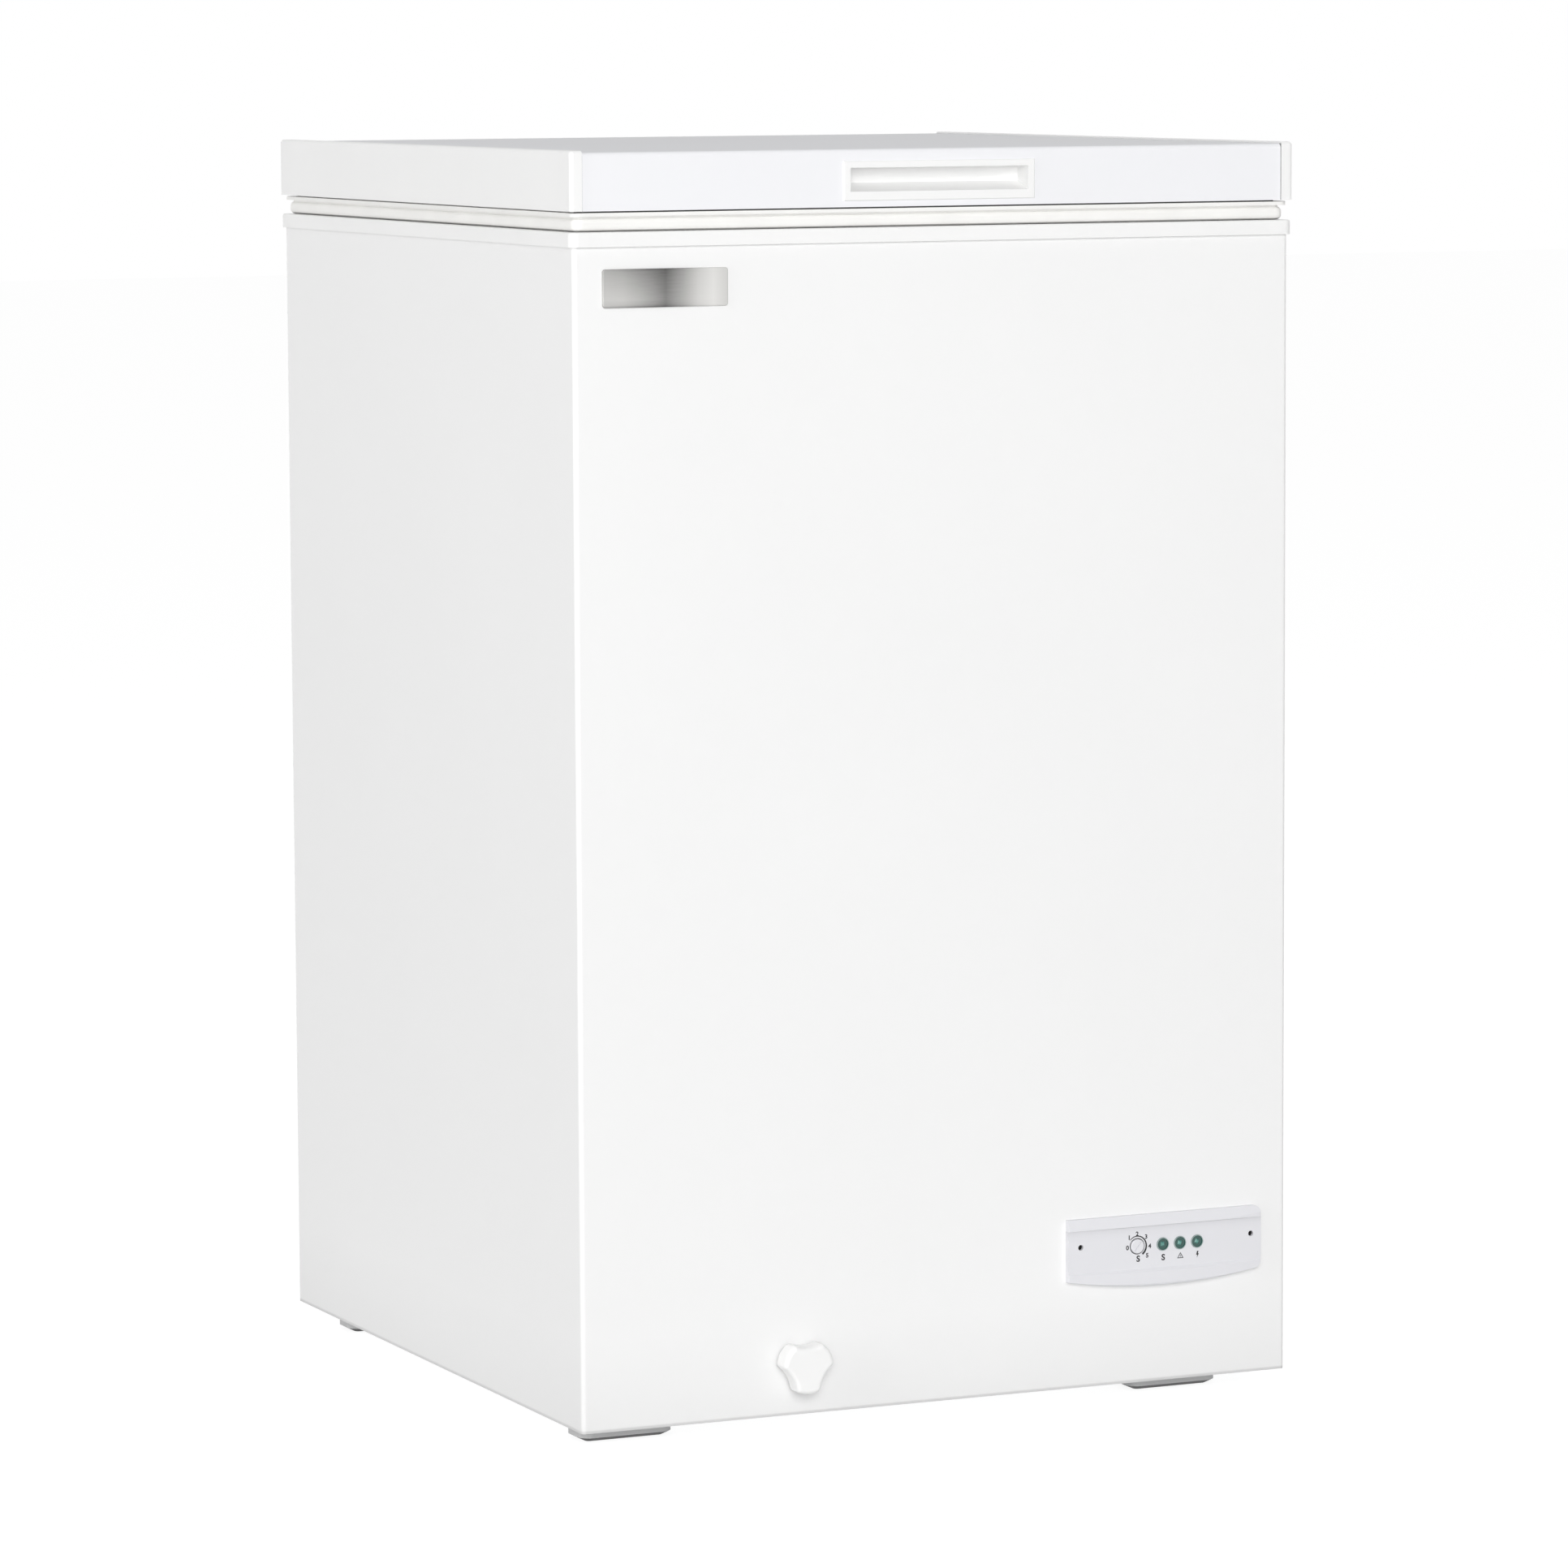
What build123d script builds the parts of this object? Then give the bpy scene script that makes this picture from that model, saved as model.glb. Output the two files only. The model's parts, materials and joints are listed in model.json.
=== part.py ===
from build123d import *
import os
from math import atan, cos, degrees, radians

# A small chest freezer. Millimetres; X to the right, Y to the rear, Z up from the floor.

# Cabinet
cabinet_width = 520.0
cabinet_depth = 533.0
cabinet_height = 774.0
corner_radius = 3.0
sheet = 0.8
rear_flange = 15.0
wall = 57.0
floor_wall = 60.0
pan_upstand = 12.0

# Collar, seal gap and lid, from the cabinet upwards
collar_height = 9.7
collar_overhang = 2.5
collar_plate = 3.0
collar_round = 1.5
skirt_gap = 0.3
lip_depth = 22.0
lip_thickness = 2.5
lip_gap = 0.2
gasket_gap = 13.3
lid_height = 39.0

# Tub
liner_sheet = 0.8
tub_corner = 14.0
tub_profile_corner = 20.0

# Compressor bay, on the right at the bottom
bay_width = 165.0
bay_height = 220.0
step_wall = 45.0
tray_thickness = 2.0

# Feet
foot_height = 14.0
foot_length = 67.0
foot_depth = 30.0
foot_corner = 9.0
foot_bevel_height = 3.0
foot_bevel_width = 6.0
foot_inset_left = 47.5
foot_inset_right = 66.0
foot_inset_front = 50.5
foot_inset_rear = 54.0
foot_screw_seat = 6.0
foot_screw_pocket = 6.0

# Control panel on the front, measured from the cabinet's right and lower edges
panel_width = 146.4
panel_side_height = 42.3
panel_sag = 6.8
panel_inset = 20.7
panel_top_rise = 115.3
panel_round = 5.0
panel_face = 4.5
panel_lip = 6.2
panel_lip_height = 12.3
panel_ledge_height = 7.5
panel_ledge_edge = 3.6
panel_ledge_foot = 5.9
panel_ledge_step = 0.4
panel_dome = 2250.0
panel_bevel = 2.4
panel_lip_slope = 2.0
control_rise = 94.2
dial_from_left = 51.8
dial_radius = 4.85
dial_proud = 1.0
dial_shaft_radius = 2.5
dial_slot_width = 0.9
dial_slot_depth = 0.8
dial_slot_inset = 1.0
dial_edge = 0.5
dial_shaft_length = 9.0
dial_rest_angle = 50.0
lamp_from_left = 71.2
lamp_pitch = 13.05
lamp_radius = 4.5
lamp_proud = 1.2
lamp_length = 24.0
panel_screw_left = 9.2
panel_screw_right = 7.9
panel_screw_rise = 96.4
panel_screw_seat = 0.8
panel_screw_head = 1.8
opening_margin = 8.0
opening_left_room = 16.0
opening_right_room = 10.0

# Thermostat behind the panel
thermostat_depth = 32.0
thermostat_margin = 3.0
thermostat_left = 19.0
thermostat_right = 11.0
bush_proud = 0.8
bulb_offset = 6.0
bulb_depth = 18.0
bulb_drop = 10.0

# Name plate on the front, left bare
badge_width = 88.2
badge_height = 24.9
badge_thickness = 1.6
badge_corner = 2.0
badge_edge = 0.6
badge_inset = 20.0
badge_drop = 14.3

# Drain
drain_inset = 156.4
drain_rise = 33.8
drain_bore = 6.0
drain_wall = 2.0
drain_back = 116.5
drain_bend = 14.0
spout_flange_radius = 12.5
spout_flange = 2.5
nozzle_radius = 9.0
nozzle_length = 9.0
knob_radius = 18.1
knob_waist = 13.2
knob_scallop = 24.3
knob_blend = 3.0
knob_edge = 3.0
knob_front_wall = 2.4
seal_thickness = 1.5
stopper_head_radius = 11.0
stopper_head = 2.7
stopper_plug_length = 11.0
stopper_tab = 14.0
stopper_tab_thickness = 3.0
stopper_tab_corner = 4.0
stopper_edge = 1.0
elbow_flange = 6.0
elbow_flange_height = 1.0

# Lid
cap_width = 8.3
cap_wall = 2.0
cap_flange = 1.2
cap_corner = 2.6
cap_round = 2.5
cap_ledge_width = 14.0
skin_bend = 3.0
skin_return = 14.0
lid_liner_sheet = 1.5
plug_inset = 20.0
plug_drop = 6.0
plug_round = 5.0

# Handle in the lid's front
handle_width = 139.0
handle_height = 26.0
handle_drop = 9.0
handle_border = 5.0
handle_depth = 16.0
handle_shell = 1.6
handle_ceiling = 4.4
handle_floor_front = 6.0
handle_floor_back = 11.5
handle_edge = 1.0

# Gasket
gasket_lip_inset = 2.2
gasket_lip_width = 20.0
gasket_lip = 3.5
gasket_rebate = 1.0
gasket_rebate_depth = 6.0
gasket_neck_inset = 6.0
gasket_neck_width = 8.0
gasket_neck = 1.0
gasket_bulb_inset = 4.2
gasket_bulb_width = 12.0
gasket_bulb_round = 3.4
gasket_rest = 0.2
gasket_corner = 6.0
magnet_width = 7.0
magnet_height = 3.5
magnet_end = 24.0

# Hinges at the rear
hinge_spacing = 300.0
hinge_width = 46.0
hinge_plate = 2.5
hinge_plate_height = 78.0
hinge_plate_drop = 5.0
hinge_cheek = 2.5
hinge_channel = 36.0
hinge_pin_back = 7.0
hinge_pin_rise = 6.3
hinge_pin_radius = 2.5
hinge_pin_head = 2.0
hinge_pin_head_radius = 4.0
hinge_eye_radius = 6.5
hinge_knuckle_radius = 5.5
hinge_knuckle_width = 20.0
hinge_arm_width = 34.0
hinge_arm_height = 34.0
hinge_arm_rise = 1.0
hinge_web_height = 12.0
hinge_lid_gap = 1.5
hinge_screw_half = 11.0
bracket_screw_drops = (18.0, 62.0)
arm_screw_rises = (18.0, 29.0)
hinge_backing = 3.0
spring_wire = 0.9
spring_radius = 4.4
spring_pitch = 2.2
spring_turns = 2.5

# Refrigeration circuit
evaporator_tube = 4.0
evaporator_pitch = 58.0
evaporator_low_turns = 3
evaporator_high_turns = 8
evaporator_first_rise = 46.0
evaporator_climb_start = 110.0
evaporator_climb_step = 22.0
evaporator_drop_gap = 14.0
evaporator_end_bend = 6.5
drop_clearance = 2.0
condenser_tube = 2.4
condenser_pitch = 66.0
condenser_runs = 6
condenser_first_rise = 60.0
condenser_bend = 12.0
riser_inset = 65.0
right_turn_gap = 30.0
return_gap = 25.0
joint_reach = 10.0
capillary_radius = 1.0
capillary_bend = 4.0
capillary_inset = 5.0
capillary_lead = 30.0
capillary_return = 25.0
capillary_swing = 30.0
compressor_radius = 65.0
compressor_height = 166.0
compressor_rise = 21.0
compressor_back = 155.0
compressor_seam = 5.0
compressor_foot_plate = 3.0
compressor_foot_width = 140.0
compressor_foot_depth = 150.0
compressor_stub = 4.0
suction_stub = 5.0
compressor_stub_rise = 113.0
compressor_stub_reach = 4.0
compressor_low_round = 22.0
compressor_high_round = 35.0
compressor_seam_height = 6.0
compressor_foot_corner = 10.0
compressor_bolt_inset = 12.0
grommet_radius = 10.0
terminal_half_width = 28.0
terminal_depth = 22.0
terminal_rise = 33.0
terminal_edge = 4.0
drier_radius = 9.5
drier_length = 105.0
drier_round = 5.7
drier_inset = 14.0
drier_drop = 18.0
drier_lead = 50.0
drier_stub = 6.0
drier_stub_wall = 0.8
line_drop = 22.0
line_bend = 8.0
harness_radius = 3.0
harness_bend = 10.0
harness_rise = 20.0
harness_floor_gap = 14.0
harness_offset = 8.0
harness_run = 50.0
harness_turn = 40.0

# Grille on the right side and cover at the rear
grille_width = 190.0
grille_height = 120.0
grille_thickness = 2.4
grille_corner = 5.0
grille_edge = 1.2
grille_border = 12.0
grille_slots = 8
grille_slot_height = 6.0
grille_front = 115.0
grille_rise = 46.0
cover_margin = 8.0
cover_slots = 9
cover_slot_width = 5.0
cover_slot_pitch = 12.0
gland_radius = 9.0
gland_bore = 3.6
gland_rise = 40.0
gland_head = 4.0
gland_edge = 1.5
gland_step = 2.0
gland_tail = 6.0

# Wire basket
basket_width = 150.0
basket_drop = 13.0
basket_height = 180.0
basket_gap = 5.0
basket_rim_wire = 2.5
basket_wire = 1.5
basket_corner = 12.0
basket_long_wires = 5
basket_cross_wires = 9
basket_handle_width = 100.0
basket_handle_reach = 24.0

# Fasteners
screw_head = 4.0
screw_head_height = 2.4
screw_shank = 2.0
screw_length = 10.0
foot_screw_length = 12.0
small_head = 2.6
small_head_height = 1.6
small_shank = 1.4
bolt_shank = 3.0
bolt_head = 6.0
bolt_head_height = 4.0
recess_length = 1.2
recess_width = 0.25

# Clearances
fit = 0.1
slip = 0.3
weld = 0.02

# Levels and faces worked out from the sizes above
half_width = cabinet_width / 2
half_depth = cabinet_depth / 2
wrap_bottom = foot_height
collar_bottom = wrap_bottom + cabinet_height
collar_top = collar_bottom + collar_height
wrap_top = collar_top - collar_plate
lid_bottom = collar_top + gasket_gap
lid_top = lid_bottom + lid_height
side_inside = half_width - sheet
front_outside = -half_depth
front_inside = front_outside + sheet
rear_outside = half_depth - sheet
rear_inside = rear_outside - sheet
inside_corner = corner_radius - sheet
tub_half_width = half_width - wall
tub_half_depth = half_depth - wall
tub_floor = wrap_bottom + floor_wall
bay_left = side_inside - bay_width
bay_top = wrap_bottom + bay_height
step_left = bay_left - sheet - step_wall
step_top = bay_top + sheet + step_wall
lid_half_width = half_width + collar_overhang
lid_half_depth = half_depth + collar_overhang
mouth_half_width = tub_half_width - lip_gap - lip_thickness
mouth_half_depth = tub_half_depth - lip_gap - lip_thickness

panel_right = half_width - panel_inset
panel_left = panel_right - panel_width
panel_top = wrap_bottom + panel_top_rise
panel_low = panel_top - panel_side_height
control_height = wrap_bottom + control_rise
panel_front = front_outside - panel_face
dial_x = panel_left + dial_from_left
lamp_xs = [panel_left + lamp_from_left + i * lamp_pitch for i in range(3)]
lamp_names = ["super", "alarm", "power"]

drain_x = -half_width + drain_inset
drain_z = wrap_bottom + drain_rise
drain_y = front_outside + drain_back
drain_pipe = drain_bore + drain_wall

pin_y = lid_half_depth + hinge_pin_back
pin_z = collar_top + hinge_pin_rise
hinge_xs = {"left": -hinge_spacing / 2, "right": hinge_spacing / 2}
skin_half_depth = lid_half_depth - cap_flange
skin_half_width = lid_half_width - cap_wall - slip
skin_top = lid_top - cap_flange

evaporator_x = tub_half_width + liner_sheet + evaporator_tube + fit
evaporator_y = tub_half_depth + liner_sheet + evaporator_tube + fit
evaporator_low_x = step_left + liner_sheet + evaporator_tube + fit
evaporator_bend = tub_corner + liner_sheet + evaporator_tube + fit
condenser_x = side_inside - condenser_tube - fit
condenser_y = -front_inside - condenser_tube - fit
compressor_x = bay_left + bay_width / 2
compressor_y = rear_inside - compressor_back
compressor_z = wrap_bottom + tray_thickness + compressor_rise

os.makedirs("parts", exist_ok=True)


def keep(piece, name):
    """Label a finished piece and write it under its own name."""
    piece.part.label = name
    export_step(piece.part, f"parts/{name}.step")


def facing_front(x, y, z):
    """A plane that looks out of the front, with its own X to the right and its own Y up."""
    return Plane((x, y, z), x_dir=(1, 0, 0), z_dir=(0, -1, 0))


def facing_rear(x, y, z):
    """A plane that looks out of the rear."""
    return Plane((x, y, z), x_dir=(-1, 0, 0), z_dir=(0, 1, 0))


def facing_right(x, y, z):
    """A plane that looks out of the right side."""
    return Plane((x, y, z), x_dir=(0, 1, 0), z_dir=(1, 0, 0))


def facing_down(x, y, z):
    """A plane that looks at the floor."""
    return Plane((x, y, z), x_dir=(1, 0, 0), z_dir=(0, 0, -1))


def facing_up(x, y, z):
    """A plane that looks up."""
    return Plane((x, y, z), x_dir=(1, 0, 0), z_dir=(0, 0, 1))


def block(low, high, mode=Mode.ADD):
    """A box between two corners, in the current part."""
    size = [b - a for a, b in zip(low, high)]
    middle = tuple((a + b) / 2 for a, b in zip(low, high))
    with Locations(middle):
        Box(*size, mode=mode)


def rod(plane, radius, length, mode=Mode.ADD):
    """A cylinder that stands on a plane, in the current part."""
    with BuildSketch(plane) as section:
        Circle(radius)
    extrude(section.sketch, amount=length, mode=mode)


def drill(planes, radius, depth, mode=Mode.SUBTRACT):
    """Round holes that run down from each plane, with a little run-out above it."""
    for plane in planes:
        rod(plane.offset(slip), radius, -depth - slip, mode=mode)


def ring(z_low, z_high, outer, outer_radius, inner, inner_radius):
    """A rectangular ring with rounded corners, given by its half sizes."""
    with BuildSketch(Plane.XY.offset(z_low)) as section:
        RectangleRounded(2 * outer[0], 2 * outer[1], outer_radius)
        RectangleRounded(2 * inner[0], 2 * inner[1], inner_radius, mode=Mode.SUBTRACT)
    extrude(section.sketch, amount=z_high - z_low)


def tube(points, bend, radius, mode=Mode.ADD):
    """A round tube along straight runs joined by tangent arcs, in the current part."""
    with BuildLine() as path:
        FilletPolyline(*points, radius=bend)
    with BuildSketch(Plane(path.line @ 0, z_dir=path.line % 0)) as section:
        Circle(radius)
    sweep(section.sketch, path=path.line, mode=mode)


def screws(planes, head, head_height, shank, length):
    """Pan head screws with a cross recess, seated on planes that face out of the piece they hold."""
    for plane in planes:
        rod(plane, head, head_height)
        rod(plane, shank, -length)
        with BuildSketch(plane.offset(head_height)) as recess:
            Rectangle(recess_length * head, recess_width * head)
            Rectangle(recess_width * head, recess_length * head)
        extrude(recess.sketch, amount=-head_height / 2, mode=Mode.SUBTRACT)


def tub_volume(grow, top):
    """The space of the tub with its step, with every face moved out by grow."""
    low = tub_floor - grow
    step = step_top - grow
    left = -tub_half_width - grow
    right = tub_half_width + grow
    inner = step_left + grow
    depth = tub_half_depth + grow
    outline = [(left, top), (left, low), (inner, low), (inner, step), (right, step), (right, top)]
    with BuildPart() as tub:
        with BuildSketch(Plane.XZ.offset(-depth)) as profile:
            with BuildLine():
                Polyline(*outline, close=True)
            make_face()
            corners = profile.vertices()
            inside = corners.sort_by_distance((inner, step))[:1]
            outside = [v for v in corners if v.Y < top - slip and v not in inside]
            fillet(inside, tub_profile_corner - grow)
            fillet(outside, tub_profile_corner + grow)
        extrude(amount=2 * depth)
        ends = tub.faces().filter_by(Axis.Y).edges()
        fillet(ends.filter_by(lambda e: e.center().Z < top - slip), tub_corner + grow)
    return tub.part


tub_inside = tub_volume(0, collar_top)
tub_outside = tub_volume(liner_sheet, wrap_top)

# Places of the screws, each a plane under a screw's head
bracket_screw_zs = [collar_bottom - hinge_plate_drop - drop for drop in bracket_screw_drops]
bracket_screws_at = [
    facing_rear(x + dx, rear_outside + hinge_plate, z)
    for x in hinge_xs.values()
    for dx in (-hinge_screw_half, hinge_screw_half)
    for z in bracket_screw_zs
]
arm_screws_at = [
    facing_rear(x + dx, skin_half_depth + hinge_plate, lid_bottom + z)
    for x in hinge_xs.values()
    for dx in (-hinge_screw_half, hinge_screw_half)
    for z in arm_screw_rises
]
panel_screws_at = [
    facing_front(x, front_outside - panel_screw_seat, wrap_bottom + panel_screw_rise)
    for x in (panel_left + panel_screw_left, panel_right - panel_screw_right)
]
foot_xs = {"left": -half_width + foot_inset_left, "right": half_width - foot_inset_right}
foot_ys = {"front": front_outside + foot_inset_front, "rear": half_depth - foot_inset_rear}
foot_screws_at = [
    facing_down(x, y, foot_screw_seat) for x in foot_xs.values() for y in foot_ys.values()
]
grille_y = front_outside + grille_front + grille_width / 2
grille_z = wrap_bottom + grille_rise + grille_height / 2
grille_seat = half_width + grille_thickness - small_head_height
grille_screw_half = (grille_width - grille_border) / 2
grille_screws_at = [
    facing_right(grille_seat, grille_y + side * grille_screw_half, grille_z) for side in (-1, 1)
]
cover_left = bay_left + cover_margin
cover_right = half_width - rear_flange - slip
cover_low = wrap_bottom + pan_upstand
cover_high = bay_top - cover_margin
cover_screws_at = [
    facing_rear(x, half_depth, z)
    for x in (cover_left + cover_margin / 2, cover_right - cover_margin / 2)
    for z in (cover_low + cover_margin / 2, cover_high - cover_margin / 2)
]

# Painted steel wrap: front and both sides folded from one sheet, with flanges at the rear
with BuildPart() as cabinet_wrap:
    ring(
        wrap_bottom,
        wrap_top,
        (half_width, half_depth),
        corner_radius,
        (side_inside, half_depth - sheet),
        inside_corner,
    )
    flange_edge = half_width - rear_flange
    block((-flange_edge, rear_inside, wrap_bottom), (flange_edge, half_depth, wrap_top), Mode.SUBTRACT)
    opening_low = control_height - lamp_radius - opening_margin
    opening_high = control_height + lamp_radius + opening_margin
    opening_left = dial_x - opening_left_room
    opening_right = lamp_xs[-1] + opening_right_room
    block(
        (opening_left, front_outside - slip, opening_low),
        (opening_right, front_inside + slip, opening_high),
        Mode.SUBTRACT,
    )
    drill([facing_front(drain_x, front_outside, drain_z)], drain_pipe + fit, 2 * sheet)
    drill(panel_screws_at, small_shank + fit, screw_length)
    grille_half_width = grille_width / 2 - grille_border
    grille_half_height = grille_height / 2 - grille_border
    block(
        (side_inside - slip, grille_y - grille_half_width, grille_z - grille_half_height),
        (half_width + slip, grille_y + grille_half_width, grille_z + grille_half_height),
        Mode.SUBTRACT,
    )
    drill(grille_screws_at, small_shank + fit, screw_length)
keep(cabinet_wrap, "cabinet_wrap")

# Rear sheet, behind the wrap's flanges, with an opening into the bay
with BuildPart() as rear_panel:
    panel_edge = half_width - corner_radius
    block((-panel_edge, rear_inside, wrap_bottom), (panel_edge, rear_outside, wrap_top))
    block(
        (cover_left + cover_margin, rear_inside - slip, cover_low + cover_margin),
        (cover_right - cover_margin, half_depth, cover_high - cover_margin),
        Mode.SUBTRACT,
    )
    drill(bracket_screws_at, screw_shank + fit, screw_length)
    drill(cover_screws_at, small_shank + fit, screw_length)
keep(rear_panel, "rear_panel")

# Base pan under the insulation, with turned-up edges
with BuildPart() as base_pan:
    with BuildSketch(Plane.XY.offset(wrap_bottom)) as pan_outline:
        pan_right = bay_left - sheet
        with Locations(((pan_right - side_inside) / 2, (front_inside + rear_inside) / 2)):
            Rectangle(pan_right + side_inside, rear_inside - front_inside)
        fillet(pan_outline.vertices().group_by(Axis.X)[0], inside_corner)
    extrude(amount=pan_upstand)
    with BuildSketch(Plane.XY.offset(wrap_bottom + sheet)) as pan_inside:
        with Locations(((pan_right - side_inside + sheet) / 2, (front_inside + rear_inside) / 2)):
            Rectangle(pan_right + side_inside - sheet, rear_inside - front_inside - 2 * sheet)
        fillet(pan_inside.vertices().group_by(Axis.X)[0], inside_corner - sheet)
    extrude(amount=pan_upstand, mode=Mode.SUBTRACT)
    drill(foot_screws_at, screw_shank + fit, foot_screw_length + foot_height)
keep(base_pan, "base_pan")

# Tray that carries the compressor and closes the bay from below
with BuildPart() as compressor_tray:
    with BuildSketch(Plane.XY.offset(wrap_bottom)) as tray_outline:
        with Locations(((bay_left + side_inside) / 2, (front_inside + rear_inside) / 2)):
            Rectangle(bay_width, rear_inside - front_inside)
        fillet(tray_outline.vertices().group_by(Axis.X)[-1], inside_corner)
    extrude(amount=tray_thickness)
    bolt_dx = compressor_foot_width / 2 - compressor_bolt_inset
    bolt_dy = compressor_foot_depth / 2 - compressor_bolt_inset
    bolts_at = [
        facing_up(compressor_x + dx, compressor_y + dy, wrap_bottom)
        for dx in (-bolt_dx, bolt_dx)
        for dy in (-bolt_dy, bolt_dy)
    ]
    for plane in bolts_at:
        rod(plane, bolt_shank + fit, tray_thickness, Mode.SUBTRACT)
    drill(foot_screws_at, screw_shank + fit, foot_screw_length + foot_height)
keep(compressor_tray, "compressor_tray")

# Route of the evaporator tube: low turns round the tub's narrow foot, high turns round all of it
turn_zs = [
    tub_floor + evaporator_first_rise + k * evaporator_pitch
    for k in range(evaporator_low_turns + evaporator_high_turns)
]
evaporator_groove = evaporator_tube + slip + fit
evaporator_drop_x = evaporator_x + evaporator_drop_gap
climb_ys = [evaporator_climb_start - k * evaporator_climb_step for k in range(len(turn_zs) + 1)]
evaporator_drop_y = climb_ys[-1]
low_jog_x = -tub_half_width / 3
evaporator_path = [(bay_left + joint_reach, evaporator_y, turn_zs[0])]
evaporator_bends = []
foam_channels = []


def evaporator_to(*points, bend=evaporator_bend):
    """Lengthen the evaporator's route."""
    evaporator_path.extend(points)
    evaporator_bends.extend([bend] * len(points))


def jog_channel(x, y, along_x, low, high):
    """Room in the insulation where a turn climbs to the next one."""
    reach = evaporator_bend + evaporator_groove
    reach_x = reach if along_x else evaporator_groove
    reach_y = evaporator_groove if along_x else reach
    foam_channels.append(
        (
            (x - reach_x, y - reach_y, low - evaporator_groove),
            (x + reach_x, y + reach_y, high + evaporator_groove),
        )
    )


for k in range(len(turn_zs)):
    if k == evaporator_low_turns:
        continue
    z = turn_zs[k]
    evaporator_to((-evaporator_x, evaporator_y, z), (-evaporator_x, -evaporator_y, z))
    if k == len(turn_zs) - 1:
        evaporator_to((evaporator_x, -evaporator_y, z))
        continue
    climb = k
    right = evaporator_low_x if k < evaporator_low_turns else evaporator_x
    if k == evaporator_low_turns - 1:
        right = evaporator_x
        climb = k + 1
        evaporator_to((low_jog_x, -evaporator_y, z), (low_jog_x, -evaporator_y, turn_zs[climb]))
        jog_channel(low_jog_x, -evaporator_y, True, z, turn_zs[climb])
    low = turn_zs[climb]
    high = turn_zs[climb + 1]
    y = climb_ys[climb]
    evaporator_to(
        (right, -evaporator_y, low),
        (right, y, low),
        (right, y, high),
        (right, evaporator_y, high),
    )
    jog_channel(right, y, False, low, high)
evaporator_end_z = turn_zs[-1]
evaporator_to(
    (evaporator_x, evaporator_drop_y, evaporator_end_z),
    (evaporator_drop_x, evaporator_drop_y, evaporator_end_z),
    bend=evaporator_end_bend,
)
evaporator_path.append((evaporator_drop_x, evaporator_drop_y, bay_top - joint_reach))
drop_room = evaporator_groove + drop_clearance
foam_channels += [
    (
        (evaporator_x - drop_room, evaporator_drop_y - 2 * drop_room, evaporator_end_z - drop_room),
        (evaporator_drop_x + drop_room, evaporator_drop_y + drop_room, evaporator_end_z + drop_room),
    ),
    (
        (evaporator_drop_x - drop_room, evaporator_drop_y - drop_room, bay_top),
        (evaporator_drop_x + drop_room, evaporator_drop_y + drop_room, evaporator_end_z),
    ),
    (
        (
            evaporator_low_x - evaporator_bend - evaporator_groove,
            evaporator_y - evaporator_groove,
            turn_zs[0] - evaporator_groove,
        ),
        (bay_left, evaporator_y + evaporator_groove, turn_zs[0] + evaporator_groove),
    ),
]

# Route of the condenser tube: runs round the inside of the wrap, from right rear to left rear and back
run_zs = [bay_top + condenser_first_rise + k * condenser_pitch for k in range(condenser_runs)]
riser_y = rear_inside - riser_inset
right_turn_y = riser_y - right_turn_gap
left_turn_y = riser_y
return_y = riser_y + return_gap
drier_x = bay_left + drier_inset
drier_z = bay_top - drier_drop
drier_front = compressor_y - drier_lead
drier_rear = drier_front + drier_length
condenser_groove = condenser_tube + slip + fit
turn_room = condenser_bend + condenser_groove
condenser_path = [(condenser_x, riser_y, bay_top - joint_reach), (condenser_x, riser_y, run_zs[0])]
condenser_turns = [(1, riser_y, bay_top, run_zs[0]), (1, return_y, bay_top, run_zs[-1])]
for k, z in enumerate(run_zs):
    side = 1 if k % 2 == 0 else -1
    condenser_path += [(side * condenser_x, -condenser_y, z), (-side * condenser_x, -condenser_y, z)]
    if k == len(run_zs) - 1:
        continue
    turn_y = left_turn_y if side > 0 else right_turn_y
    condenser_path += [(-side * condenser_x, turn_y, z), (-side * condenser_x, turn_y, run_zs[k + 1])]
    condenser_turns.append((-side, turn_y, z, run_zs[k + 1]))
condenser_path += [
    (condenser_x, return_y, run_zs[-1]),
    (condenser_x, return_y, drier_z),
    (drier_x, return_y, drier_z),
    (drier_x, drier_rear + drier_stub, drier_z),
]
for z in run_zs:
    low = z - condenser_groove
    high = z + condenser_groove
    inner_x = condenser_x - condenser_groove
    inner_y = -condenser_y + condenser_groove
    corner_x = condenser_x - condenser_bend
    corner_y = -condenser_y + condenser_bend
    foam_channels.append(((-half_width, front_outside, low), (half_width, inner_y, high)))
    for side in (-1, 1):
        edge = side * half_width
        foam_channels += [
            (
                (min(side * inner_x, edge), front_outside, low),
                (max(side * inner_x, edge), return_y + condenser_groove, high),
            ),
            (
                (min(side * corner_x, edge), front_outside, low),
                (max(side * corner_x, edge), corner_y, high),
            ),
        ]
for side, y, low, high in condenser_turns:
    inner = side * (condenser_x - condenser_groove)
    edge = side * half_width
    foam_channels.append(
        (
            (min(inner, edge), y - turn_room, low - condenser_groove),
            (max(inner, edge), y + condenser_groove, high + condenser_groove),
        )
    )

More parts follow.
